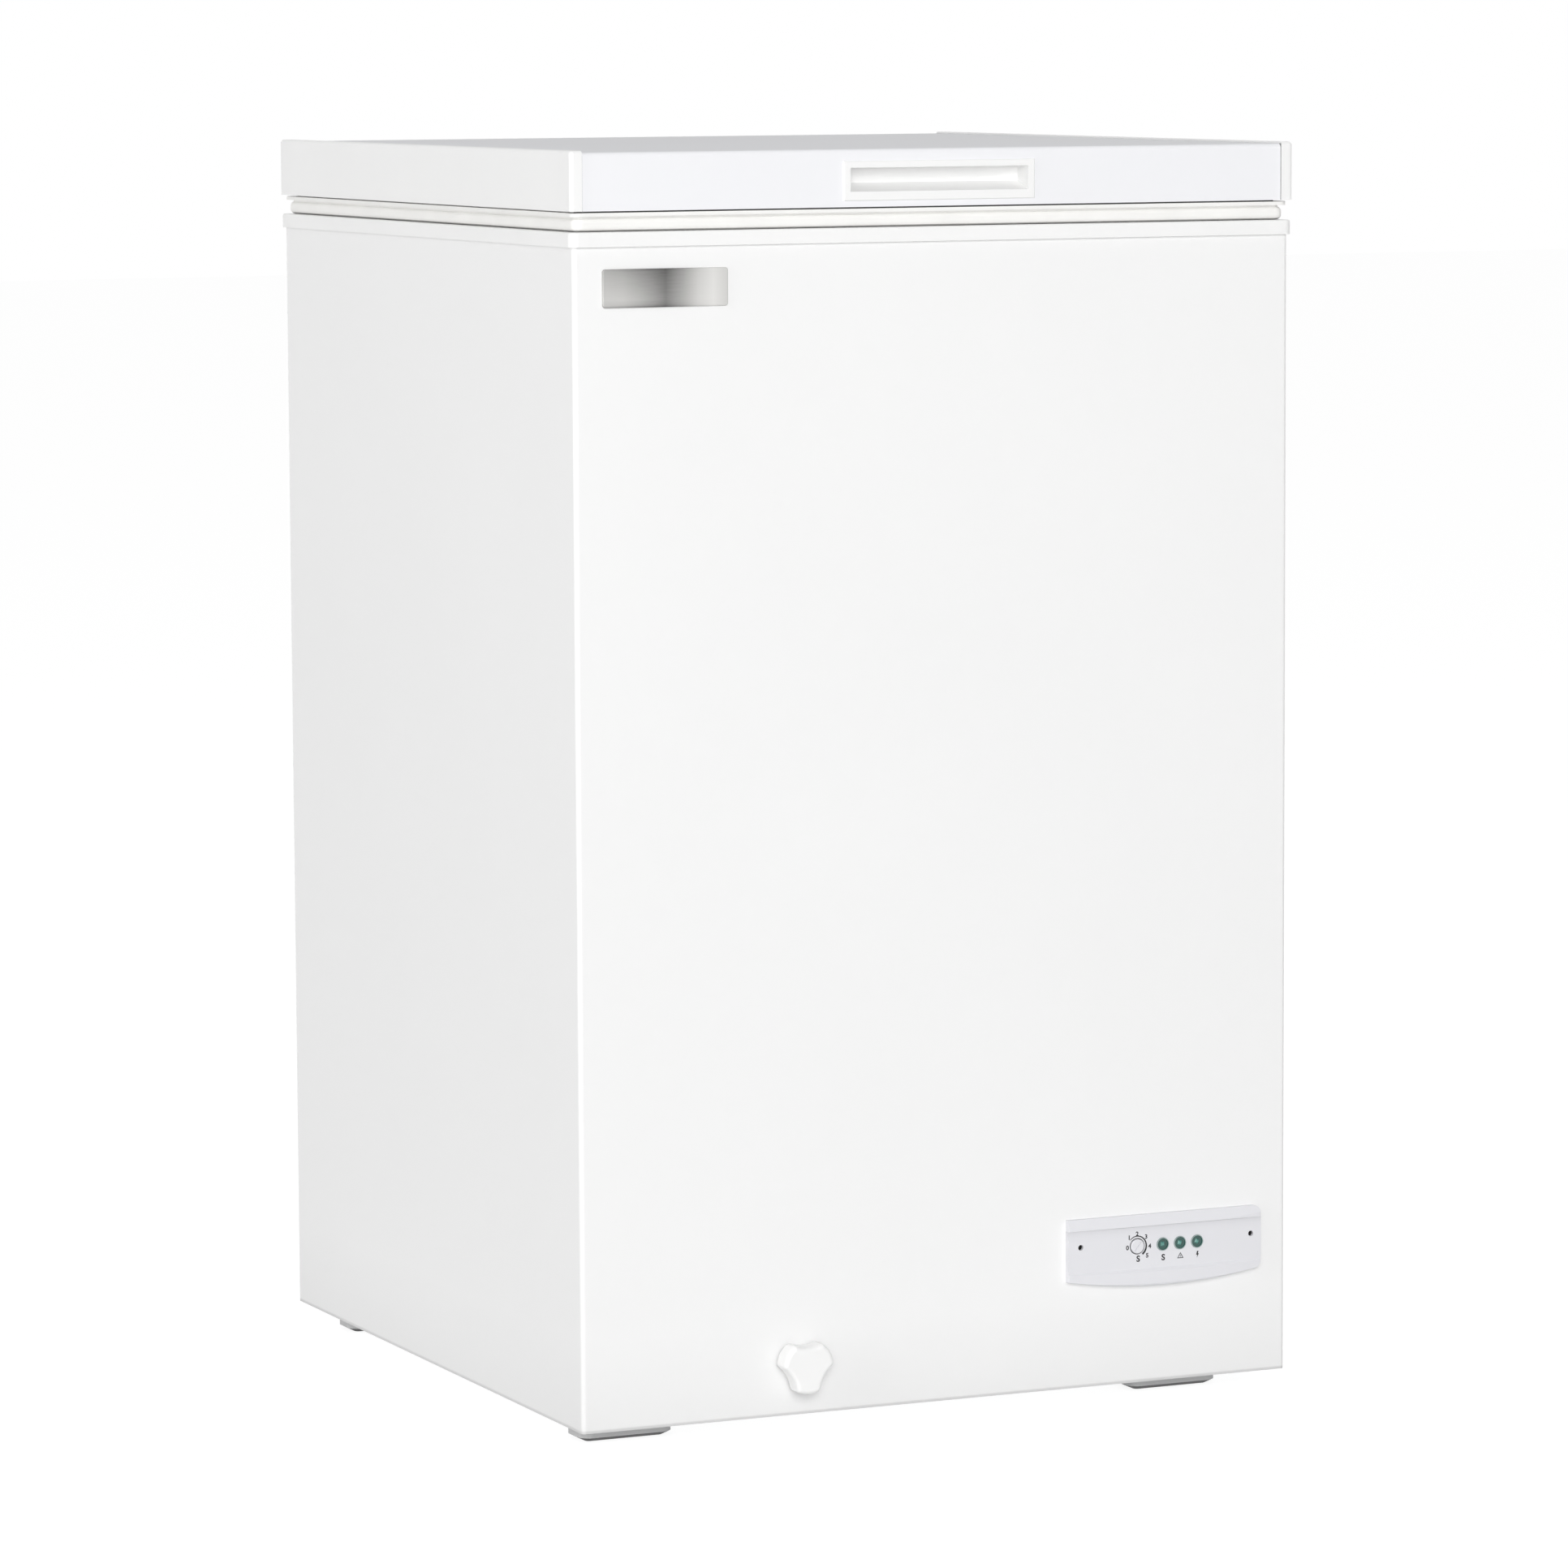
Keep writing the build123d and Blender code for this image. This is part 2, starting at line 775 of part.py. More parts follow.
# Sheet that parts the bay from the insulation
with BuildPart() as bay_bulkhead:
    block((bay_left - sheet, front_inside, wrap_bottom), (bay_left, rear_inside, bay_top + sheet))
    with BuildSketch(Plane.XY.offset(bay_top)) as ceiling:
        with Locations(((bay_left + side_inside) / 2, (front_inside + rear_inside) / 2)):
            Rectangle(bay_width, rear_inside - front_inside)
        fillet(ceiling.vertices().group_by(Axis.X)[-1], inside_corner)
    extrude(amount=sheet)
    bulb_x = dial_x + bulb_offset
    bulb_y = front_inside + bulb_depth
    drill(
        [facing_up(condenser_x, y, bay_top + sheet) for y in (riser_y, return_y)],
        condenser_tube + slip,
        2 * sheet,
    )
    drop_hole_at = facing_up(evaporator_drop_x, evaporator_drop_y, bay_top + sheet)
    drill([drop_hole_at], evaporator_tube + fit, 2 * sheet)
    drill([facing_up(bulb_x, bulb_y, bay_top + sheet)], capillary_radius + fit, 2 * sheet)
    drill([facing_right(bay_left, evaporator_y, turn_zs[0])], evaporator_tube + fit, 2 * sheet)
keep(bay_bulkhead, "bay_bulkhead")

# Insulation between the outer sheets and the tub
with BuildPart() as foam_insulation:
    foam_bottom = wrap_bottom + sheet
    with BuildSketch(Plane.XY.offset(foam_bottom)) as foam_outline:
        with Locations((0, (front_inside + rear_inside) / 2)):
            Rectangle(2 * side_inside, rear_inside - front_inside)
        fillet(foam_outline.vertices(), inside_corner)
    extrude(amount=wrap_top - foam_bottom)
    add(tub_outside, mode=Mode.SUBTRACT)
    block((bay_left - sheet, front_outside, 0), (half_width, half_depth, bay_top + sheet), Mode.SUBTRACT)
    add(base_pan.part, mode=Mode.SUBTRACT)
    for k, z in enumerate(turn_zs):
        groove_right = (evaporator_low_x if k < evaporator_low_turns else evaporator_x) + evaporator_groove
        groove_left = -evaporator_x - evaporator_groove
        with BuildSketch(Plane.XY.offset(z - evaporator_groove)):
            with Locations(((groove_left + groove_right) / 2, 0)):
                RectangleRounded(
                    groove_right - groove_left,
                    2 * (evaporator_y + evaporator_groove),
                    evaporator_bend + evaporator_groove,
                )
        extrude(amount=2 * evaporator_groove, mode=Mode.SUBTRACT)
    for low, high in foam_channels:
        block(low, high, Mode.SUBTRACT)
    bulb_top = step_top - bulb_drop
    drill([facing_up(bulb_x, bulb_y, bulb_top + fit)], capillary_radius + fit, step_wall)
    drain_room = drain_pipe + fit
    drill([facing_front(drain_x, front_inside, drain_z)], drain_room, drain_y - front_inside)
    block(
        (drain_x - drain_room, drain_y - drain_bend - drain_pipe, drain_z - drain_room),
        (drain_x + drain_room, drain_y + drain_room, tub_floor),
        Mode.SUBTRACT,
    )
    for x in hinge_xs.values():
        backing_high = collar_bottom - hinge_plate_drop
        block(
            (x - hinge_width / 2, rear_inside - hinge_backing, backing_high - hinge_plate_height),
            (x + hinge_width / 2, rear_inside, backing_high),
            Mode.SUBTRACT,
        )
    drill(bracket_screws_at, screw_shank + fit, screw_length + fit)
    drill(foot_screws_at, screw_shank + fit, foot_screw_length + foot_height)
    drill(cover_screws_at, small_shank + fit, screw_length + fit)
keep(foam_insulation, "foam_insulation")

# Aluminium tub with a step over the bay
with BuildPart() as inner_liner:
    add(tub_outside)
    add(tub_inside, mode=Mode.SUBTRACT)
    drill([facing_up(drain_x, drain_y, tub_floor)], drain_pipe + fit, 2 * liner_sheet)
keep(inner_liner, "inner_liner")

# Plastic collar that caps the wall and lines the mouth
with BuildPart() as top_frame:
    collar_corner = corner_radius + collar_overhang
    collar_half = (lid_half_width, lid_half_depth)
    mouth_half = (mouth_half_width, mouth_half_depth)
    mouth_corner = tub_corner - lip_gap - lip_thickness
    ring(wrap_top, collar_top, collar_half, collar_corner, mouth_half, mouth_corner)
    ring(
        collar_bottom,
        wrap_top,
        collar_half,
        collar_corner,
        (half_width + skirt_gap, half_depth + skirt_gap),
        corner_radius + skirt_gap,
    )
    ring(
        wrap_top - lip_depth,
        wrap_top,
        (tub_half_width - lip_gap, tub_half_depth - lip_gap),
        tub_corner - lip_gap,
        mouth_half,
        mouth_corner,
    )
    fillet(top_frame.faces().sort_by(Axis.Z)[-1].edges(), collar_round)
keep(top_frame, "top_frame")

with BuildPart() as evaporator_coil:
    tube(evaporator_path, evaporator_bends, evaporator_tube)
keep(evaporator_coil, "evaporator_coil")

with BuildPart() as condenser_coil:
    tube(condenser_path, condenser_bend, condenser_tube)
keep(condenser_coil, "condenser_coil")

# Hermetic compressor with its stubs for the suction and discharge lines
stub_z = compressor_z + compressor_stub_rise
stub_reach = compressor_radius + compressor_stub_reach
with BuildPart() as compressor_shell:
    rod(facing_up(compressor_x, compressor_y, compressor_z), compressor_radius, compressor_height)
    fillet(compressor_shell.edges().filter_by(GeomType.CIRCLE).sort_by(Axis.Z)[0], compressor_low_round)
    fillet(compressor_shell.edges().filter_by(GeomType.CIRCLE).sort_by(Axis.Z)[-1], compressor_high_round)
    seam_low = compressor_z + (compressor_height - compressor_seam_height) / 2
    seam_at = facing_up(compressor_x, compressor_y, seam_low)
    rod(seam_at, compressor_radius + compressor_seam, compressor_seam_height)
    rod(facing_right(compressor_x, compressor_y, stub_z), compressor_stub, stub_reach)
    rod(facing_front(compressor_x, compressor_y, stub_z), suction_stub, stub_reach)
keep(compressor_shell, "compressor_shell")

plate_bottom = compressor_z - compressor_foot_plate
with BuildPart() as compressor_base_plate:
    with BuildSketch(facing_up(compressor_x, compressor_y, plate_bottom)):
        RectangleRounded(compressor_foot_width, compressor_foot_depth, compressor_foot_corner)
    extrude(amount=compressor_foot_plate)
    for plane in bolts_at:
        rod(plane, bolt_shank + fit, compressor_z, Mode.SUBTRACT)
keep(compressor_base_plate, "compressor_base_plate")

tray_top = wrap_bottom + tray_thickness
with BuildPart() as compressor_grommets:
    for plane in bolts_at:
        rod(plane.offset(tray_thickness), grommet_radius, plate_bottom - tray_top)
        rod(plane.offset(tray_thickness), bolt_shank + fit, plate_bottom - tray_top, Mode.SUBTRACT)
keep(compressor_grommets, "compressor_grommets")

with BuildPart() as compressor_bolts:
    for plane in bolts_at:
        with BuildSketch(plane):
            RegularPolygon(bolt_head, 6)
        extrude(amount=-bolt_head_height)
        rod(plane, bolt_shank, compressor_z - wrap_bottom + 2 * bolt_head_height)
        with BuildSketch(plane.offset(compressor_z - wrap_bottom)):
            RegularPolygon(bolt_head, 6)
        extrude(amount=bolt_head_height)
keep(compressor_bolts, "compressor_bolts")

terminal_front = compressor_y - compressor_radius - terminal_depth
terminal_low = compressor_z + terminal_rise
with BuildPart() as terminal_cover:
    block(
        (compressor_x - terminal_half_width, terminal_front, terminal_low),
        (compressor_x + terminal_half_width, compressor_y - compressor_radius / 2, seam_low - terminal_edge),
    )
    fillet(terminal_cover.faces().sort_by(Axis.Y)[0].edges(), terminal_edge)
    rod(facing_up(compressor_x, compressor_y, 0), compressor_radius + fit, bay_top, Mode.SUBTRACT)
keep(terminal_cover, "terminal_cover")

with BuildPart() as filter_drier:
    rod(facing_front(drier_x, drier_rear, drier_z), drier_radius, drier_length)
    fillet(filter_drier.edges().filter_by(GeomType.CIRCLE), drier_round)
    stub_at = facing_front(drier_x, drier_rear + drier_stub, drier_z)
    rod(stub_at, condenser_tube + drier_stub_wall, drier_length + 2 * drier_stub)
keep(filter_drier, "filter_drier")

capillary_x = bay_left + capillary_inset
capillary_y = drier_front - capillary_lead
capillary_return_y = evaporator_y - capillary_return
capillary_swing_x = bay_left + capillary_swing
with BuildPart() as capillary_tube:
    tube(
        [
            (drier_x, drier_front - drier_stub, drier_z),
            (drier_x, capillary_y, drier_z),
            (capillary_x, capillary_y, drier_z),
            (capillary_x, capillary_y, turn_zs[0]),
            (capillary_x, capillary_return_y, turn_zs[0]),
            (capillary_swing_x, capillary_return_y, turn_zs[0]),
            (capillary_swing_x, evaporator_y, turn_zs[0]),
            (bay_left + joint_reach, evaporator_y, turn_zs[0]),
        ],
        capillary_bend,
        capillary_radius,
    )
keep(capillary_tube, "capillary_tube")

line_z = bay_top - line_drop
with BuildPart() as suction_line:
    tube(
        [
            (evaporator_drop_x, evaporator_drop_y, bay_top - joint_reach),
            (evaporator_drop_x, evaporator_drop_y, line_z),
            (compressor_x, evaporator_drop_y, line_z),
            (compressor_x, evaporator_drop_y, stub_z),
            (compressor_x, compressor_y - stub_reach, stub_z),
        ],
        line_bend,
        evaporator_tube,
    )
keep(suction_line, "suction_line")

with BuildPart() as discharge_line:
    tube(
        [
            (compressor_x + stub_reach, compressor_y, stub_z),
            (condenser_x, compressor_y, stub_z),
            (condenser_x, compressor_y, line_z),
            (condenser_x, riser_y, line_z),
            (condenser_x, riser_y, bay_top - joint_reach),
        ],
        line_bend,
        condenser_tube,
    )
keep(discharge_line, "discharge_line")

# Thermostat behind the panel, with its sensing tube up to the step of the tub
thermostat_rear = front_inside + thermostat_depth
bush_front = front_outside - bush_proud
with BuildPart() as thermostat_body:
    block(
        (dial_x - thermostat_left, front_inside, opening_low - thermostat_margin),
        (dial_x + thermostat_right, thermostat_rear, opening_high + thermostat_margin),
    )
    rod(facing_front(dial_x, front_inside, control_height), dial_radius, front_inside - bush_front)
    drill([facing_front(dial_x, bush_front, control_height)], dial_shaft_radius + fit, dial_shaft_length)
    rod(facing_up(bulb_x, bulb_y, opening_high), capillary_radius, bulb_top - opening_high)
keep(thermostat_body, "thermostat_body")

harness_z = terminal_low + harness_rise
harness_low = tray_top + harness_floor_gap
harness_x = dial_x - harness_offset
harness_y = terminal_front - harness_run
harness_front = thermostat_rear + harness_turn
with BuildPart() as wiring_harness:
    tube(
        [
            (compressor_x, terminal_front, harness_z),
            (compressor_x, harness_y, harness_z),
            (compressor_x, harness_y, harness_low),
            (compressor_x, harness_front, harness_low),
            (harness_x, harness_front, harness_low),
            (harness_x, harness_front, control_height),
            (harness_x, thermostat_rear, control_height),
        ],
        harness_bend,
        harness_radius,
    )
keep(wiring_harness, "wiring_harness")

# Control panel moulding: arched lower edge, slightly domed, its face sunk between a ledge and a lip
with BuildPart() as control_fascia:
    panel_middle = (panel_left + panel_right) / 2
    with BuildSketch(facing_front(0, front_outside, 0)) as panel_outline:
        with BuildLine():
            Polyline(
                (panel_left, panel_low),
                (panel_left, panel_top),
                (panel_right, panel_top),
                (panel_right, panel_low),
            )
            ThreePointArc(
                (panel_left, panel_low),
                (panel_middle, panel_low - panel_sag),
                (panel_right, panel_low),
            )
        make_face()
        fillet(panel_outline.vertices().group_by(Axis.X)[-1], panel_round)
    extrude(amount=panel_lip)
    fillet(control_fascia.faces().sort_by(Axis.Y)[0].edges(), panel_bevel)
    lip_top = panel_low - panel_sag + panel_lip_height
    with BuildSketch(Plane.YZ.offset(panel_left)):
        with BuildLine():
            Polyline(
                (front_outside, panel_top),
                (front_outside - panel_ledge_edge, panel_top),
                (front_outside - panel_ledge_foot, panel_top - panel_ledge_height),
                (panel_front, panel_top - panel_ledge_height - panel_ledge_step),
                (panel_front, lip_top),
                (front_outside - panel_lip, lip_top - panel_lip_slope),
                (front_outside - panel_lip, panel_low - 2 * panel_sag),
                (front_outside, panel_low - 2 * panel_sag),
                close=True,
            )
        make_face()
    extrude(amount=panel_width, mode=Mode.INTERSECT)
    dome_y = front_outside - panel_lip + panel_dome
    with BuildSketch(facing_up(panel_middle, dome_y, panel_low - 2 * panel_sag)):
        Circle(panel_dome)
    extrude(amount=panel_side_height + 2 * panel_sag, mode=Mode.INTERSECT)
    drill([facing_front(dial_x, panel_front, control_height)], dial_radius + slip, 2 * panel_face)
    lamps_at = [facing_front(x, panel_front, control_height) for x in lamp_xs]
    drill(lamps_at, lamp_radius + fit, 2 * panel_face)
    drill(panel_screws_at, small_shank + fit, screw_length)
    for plane in panel_screws_at:
        rod(plane, panel_screw_head + fit, panel_face, Mode.SUBTRACT)
keep(control_fascia, "control_fascia")

with BuildPart() as fascia_screws:
    screws(panel_screws_at, panel_screw_head, small_head_height, small_shank, screw_length)
keep(fascia_screws, "fascia_screws")

# Dial with a coin slot, which points at the middle of its scale
with BuildPart() as thermostat_dial:
    dial_front = panel_front - dial_proud
    dial_rear = bush_front - slip
    rod(facing_front(dial_x, dial_rear, control_height), dial_radius, dial_rear - dial_front)
    fillet(thermostat_dial.edges().sort_by(Axis.Y)[0], dial_edge)
    rod(facing_front(dial_x, dial_rear, control_height), dial_shaft_radius, -dial_shaft_length)
    with BuildSketch(facing_front(dial_x, dial_front, control_height)):
        Rectangle(2 * (dial_radius - dial_slot_inset), dial_slot_width, rotation=dial_rest_angle)
    extrude(amount=-dial_slot_depth, mode=Mode.SUBTRACT)
keep(thermostat_dial, "thermostat_dial")

for lamp_name, x in zip(lamp_names, lamp_xs):
    with BuildPart() as indicator_lamp:
        lamp_front = panel_front - lamp_proud
        rod(facing_front(x, lamp_front, control_height), lamp_radius, -lamp_length)
        fillet(indicator_lamp.edges().sort_by(Axis.Y)[0], lamp_proud)
    keep(indicator_lamp, f"indicator_lamp_{lamp_name}")

with BuildPart() as badge_plate:
    badge_x = -half_width + badge_inset + badge_width / 2
    badge_z = collar_bottom - badge_drop - badge_height / 2
    with BuildSketch(facing_front(badge_x, front_outside, badge_z)):
        RectangleRounded(badge_width, badge_height, badge_corner)
    extrude(amount=badge_thickness)
    fillet(badge_plate.faces().sort_by(Axis.Y)[0].edges(), badge_edge)
keep(badge_plate, "badge_plate")

# Louvred grille on the right side of the bay
with BuildPart() as vent_grille:
    with BuildSketch(facing_right(half_width, grille_y, grille_z)):
        RectangleRounded(grille_width, grille_height, grille_corner)
    extrude(amount=grille_thickness)
    fillet(vent_grille.faces().sort_by(Axis.X)[-1].edges(), grille_edge)
    block(
        (side_inside, grille_y - grille_half_width + fit, grille_z - grille_half_height + fit),
        (half_width, grille_y + grille_half_width - fit, grille_z + grille_half_height - fit),
    )
    slot_pitch = 2 * grille_half_height / grille_slots
    with BuildSketch(facing_right(side_inside, grille_y, grille_z)):
        with GridLocations(0, slot_pitch, 1, grille_slots):
            SlotOverall(grille_width - 4 * grille_border, grille_slot_height)
    extrude(amount=grille_thickness + 2 * sheet, mode=Mode.SUBTRACT)
    drill(grille_screws_at, small_shank + fit, screw_length)
    for plane in grille_screws_at:
        rod(plane, small_head + fit, grille_thickness, Mode.SUBTRACT)
keep(vent_grille, "vent_grille")

# Cover over the rear opening of the bay, with air slots and a hole for the mains gland
gland_x = cover_left + 2 * cover_margin + gland_radius
gland_z = wrap_bottom + gland_rise
with BuildPart() as rear_cover:
    block((cover_left, rear_outside, cover_low), (cover_right, half_depth, cover_high))
    slot_height = (cover_high - cover_low) / 2
    slot_z = cover_high - slot_height / 2 - 3 * cover_margin
    with BuildSketch(facing_rear((cover_left + cover_right) / 2, rear_outside, slot_z)):
        with GridLocations(cover_slot_pitch, 0, cover_slots, 1):
            SlotOverall(slot_height, cover_slot_width, rotation=90)
    extrude(amount=sheet, mode=Mode.SUBTRACT)
    drill(cover_screws_at, small_shank + fit, screw_length)
    drill([facing_rear(gland_x, half_depth, gland_z)], gland_radius - gland_step + fit, 2 * sheet)
keep(rear_cover, "rear_cover")

with BuildPart() as cover_screws:
    screws(cover_screws_at + grille_screws_at, small_head, small_head_height, small_shank, screw_length)
keep(cover_screws, "cover_screws")

with BuildPart() as cable_gland:
    gland_at = facing_rear(gland_x, half_depth, gland_z)
    rod(gland_at, gland_radius, gland_head)
    fillet(cable_gland.edges().sort_by(Axis.Y)[-1], gland_edge)
    rod(gland_at, gland_radius - gland_step, -gland_tail)
    rod(gland_at.offset(-gland_tail), gland_bore, gland_tail + gland_head, Mode.SUBTRACT)
keep(cable_gland, "cable_gland")

# Drain: spout through the front wall, elbow to the tub's floor, sealing washer, cap and stopper
nozzle_front = front_outside - spout_flange - nozzle_length
elbow_front = drain_y - drain_bend - drain_wall
with BuildPart() as drain_spout:
    rod(facing_front(drain_x, front_outside, drain_z), spout_flange_radius, spout_flange)
    rod(facing_front(drain_x, front_outside, drain_z), nozzle_radius, front_outside - nozzle_front)
    rod(facing_front(drain_x, front_outside, drain_z), drain_pipe, front_outside - elbow_front)
    rod(facing_front(drain_x, elbow_front, drain_z), drain_bore, elbow_front - nozzle_front, Mode.SUBTRACT)
keep(drain_spout, "drain_spout")

elbow_path = [(drain_x, elbow_front, drain_z), (drain_x, drain_y, drain_z), (drain_x, drain_y, tub_floor)]
stopper_seat = tub_floor + elbow_flange_height
with BuildPart() as drain_elbow:
    tube(elbow_path, drain_bend, drain_pipe)
    rod(facing_up(drain_x, drain_y, tub_floor), drain_pipe + elbow_flange, elbow_flange_height)
    tube(elbow_path, drain_bend, drain_bore, Mode.SUBTRACT)
    rod(facing_up(drain_x, drain_y, tub_floor), drain_bore, elbow_flange_height, Mode.SUBTRACT)
keep(drain_elbow, "drain_elbow")

with BuildPart() as drain_stopper:
    stopper_low = stopper_seat + slip
    rod(facing_up(drain_x, drain_y, stopper_low), stopper_head_radius, stopper_head)
    fillet(drain_stopper.edges().sort_by(Axis.Z)[-1], stopper_edge)
    rod(facing_up(drain_x, drain_y, stopper_low), drain_bore - slip, -stopper_plug_length)
    tab_middle = stopper_low + stopper_head + stopper_tab / 2
    with BuildSketch(facing_front(drain_x, drain_y + stopper_tab_thickness / 2, tab_middle)):
        RectangleRounded(stopper_tab, stopper_tab + 2 * stopper_edge, stopper_tab_corner)
        Circle(stopper_tab / 4, mode=Mode.SUBTRACT)
    extrude(amount=stopper_tab_thickness)
keep(drain_stopper, "drain_stopper")

with BuildPart() as drain_seal:
    seal_rear = nozzle_front - slip
    rod(facing_front(drain_x, seal_rear, drain_z), nozzle_radius - slip, seal_thickness)
    rod(facing_front(drain_x, seal_rear, drain_z), drain_bore - drain_wall, seal_thickness, Mode.SUBTRACT)
keep(drain_seal, "drain_seal")

with BuildPart() as drain_cap:
    cap_rear = front_outside - spout_flange - slip
    cap_floor = seal_rear - seal_thickness - slip
    cap_front = cap_floor - knob_front_wall
    with BuildSketch(facing_front(drain_x, cap_rear, drain_z)) as cap_outline:
        Circle(knob_radius)
        with PolarLocations(knob_waist + knob_scallop, 3, start_angle=90):
            Circle(knob_scallop, mode=Mode.SUBTRACT)
        fillet(cap_outline.vertices(), knob_blend)
    extrude(amount=cap_rear - cap_front)
    fillet(drain_cap.faces().sort_by(Axis.Y)[0].edges(), knob_edge)
    rod(facing_front(drain_x, cap_rear, drain_z), nozzle_radius + slip, cap_rear - cap_floor, Mode.SUBTRACT)
keep(drain_cap, "drain_cap")

# Feet, bevelled towards the floor, each held by a screw from below
for end, y in foot_ys.items():
    for side, x in foot_xs.items():
        with BuildPart() as foot:
            with BuildSketch(facing_down(x, y, foot_height)):
                RectangleRounded(foot_length, foot_depth, foot_corner)
            extrude(amount=foot_height - foot_bevel_height)
            with BuildSketch(facing_down(x, y, foot_bevel_height)):
                RectangleRounded(foot_length, foot_depth, foot_corner)
            extrude(amount=foot_bevel_height, taper=degrees(atan(foot_bevel_width / foot_bevel_height)))
            rod(facing_down(x, y, foot_screw_seat), foot_screw_pocket, foot_screw_seat, Mode.SUBTRACT)
            drill([facing_down(x, y, foot_screw_seat)], screw_shank + fit, foot_height)
        keep(foot, f"foot_{end}_{side}")

with BuildPart() as foot_screws:
    screws(foot_screws_at, screw_head, screw_head_height, screw_shank, foot_screw_length)
keep(foot_screws, "foot_screws")

# Hinges: bracket on the cabinet with two cheeks, pin, arm on the lid with a knuckle, and springs
bracket_top = collar_bottom - hinge_plate_drop
bracket_low = bracket_top - hinge_plate_height
bracket_rear = rear_outside + hinge_plate
for side, x in hinge_xs.items():
    with BuildPart() as hinge_bracket:
        block(
            (x - hinge_width / 2, rear_outside, bracket_low),
            (x + hinge_width / 2, bracket_rear, bracket_top),
        )
        for cheek_x in (x - hinge_channel / 2 - hinge_cheek, x + hinge_channel / 2):
            with BuildSketch(Plane.YZ.offset(cheek_x)):
                with BuildLine():
                    Polyline(
                        (rear_outside, bracket_low),
                        (rear_outside, bracket_top),
                        (lid_half_depth + hinge_lid_gap, bracket_top),
                        (lid_half_depth + 2 * hinge_lid_gap, pin_z - hinge_eye_radius),
                        (pin_y - hinge_eye_radius, pin_z),
                        (pin_y + hinge_eye_radius, pin_z),
                        (pin_y + hinge_eye_radius, bracket_top - hinge_plate_height / 3),
                        (bracket_rear + hinge_cheek, bracket_low),
                        close=True,
                    )
                make_face()
                with Locations((pin_y, pin_z)):
                    Circle(hinge_eye_radius)
                    Circle(hinge_pin_radius + fit / 2, mode=Mode.SUBTRACT)
            extrude(amount=hinge_cheek)
        drill(bracket_screws_at, screw_shank + fit, screw_length)
    keep(hinge_bracket, f"hinge_bracket_{side}")

    with BuildPart() as hinge_arm:
        leaf_rear = skin_half_depth + hinge_plate
        leaf_low = lid_bottom + hinge_arm_rise
        web_top = lid_bottom + hinge_web_height
        diagonal = hinge_knuckle_radius * cos(radians(45))
        block(
            (x - hinge_arm_width / 2, skin_half_depth, leaf_low),
            (x + hinge_arm_width / 2, leaf_rear, leaf_low + hinge_arm_height),
        )
        with BuildSketch(Plane.YZ.offset(x - hinge_knuckle_width / 2)):
            with BuildLine():
                Polyline(
                    (skin_half_depth, leaf_low),
                    (skin_half_depth, web_top),
                    (leaf_rear, web_top),
                    (pin_y + diagonal, pin_z + diagonal),
                    (pin_y - diagonal, pin_z - diagonal),
                    (leaf_rear, leaf_low),
                    close=True,
                )
            make_face()
            with Locations((pin_y, pin_z)):
                Circle(hinge_knuckle_radius)
                Circle(hinge_pin_radius + fit / 2, mode=Mode.SUBTRACT)
        extrude(amount=hinge_knuckle_width)
        drill(arm_screws_at, screw_shank + fit, screw_length)
    keep(hinge_arm, f"hinge_arm_{side}")

with BuildPart() as hinge_backing_plates:
    for x in hinge_xs.values():
        block(
            (x - hinge_width / 2, rear_inside - hinge_backing, bracket_low),
            (x + hinge_width / 2, rear_inside, bracket_top),
        )
    drill(bracket_screws_at, screw_shank + fit, screw_length)
keep(hinge_backing_plates, "hinge_backing_plates")

with BuildPart() as hinge_bracket_screws:
    screws(bracket_screws_at, screw_head, screw_head_height, screw_shank, screw_length)
keep(hinge_bracket_screws, "hinge_bracket_screws")

with BuildPart() as hinge_arm_screws:
    screws(arm_screws_at, screw_head, screw_head_height, screw_shank, screw_length)
keep(hinge_arm_screws, "hinge_arm_screws")

cheek_outside = hinge_channel / 2 + hinge_cheek
with BuildPart() as hinge_pins:
    for x in hinge_xs.values():
        pin_at = facing_right(x - cheek_outside, pin_y, pin_z)
        rod(pin_at, hinge_pin_radius, 2 * cheek_outside + hinge_pin_head)
        rod(pin_at, hinge_pin_head_radius, -hinge_pin_head)
keep(hinge_pins, "hinge_pins")

with BuildPart() as hinge_springs:
    spring_length = spring_pitch * spring_turns
    for x in hinge_xs.values():
        for spring_side in (-hinge_channel / 2, hinge_knuckle_width / 2):
            start = (x + spring_side + spring_wire + slip, pin_y, pin_z)
            with BuildLine() as coil:
                Helix(spring_pitch, spring_length, spring_radius, start, (1, 0, 0))
            with BuildSketch(Plane(coil.line @ 0, z_dir=coil.line % 0)):
                Circle(spring_wire)
            sweep(is_frenet=True)
keep(hinge_springs, "hinge_springs")

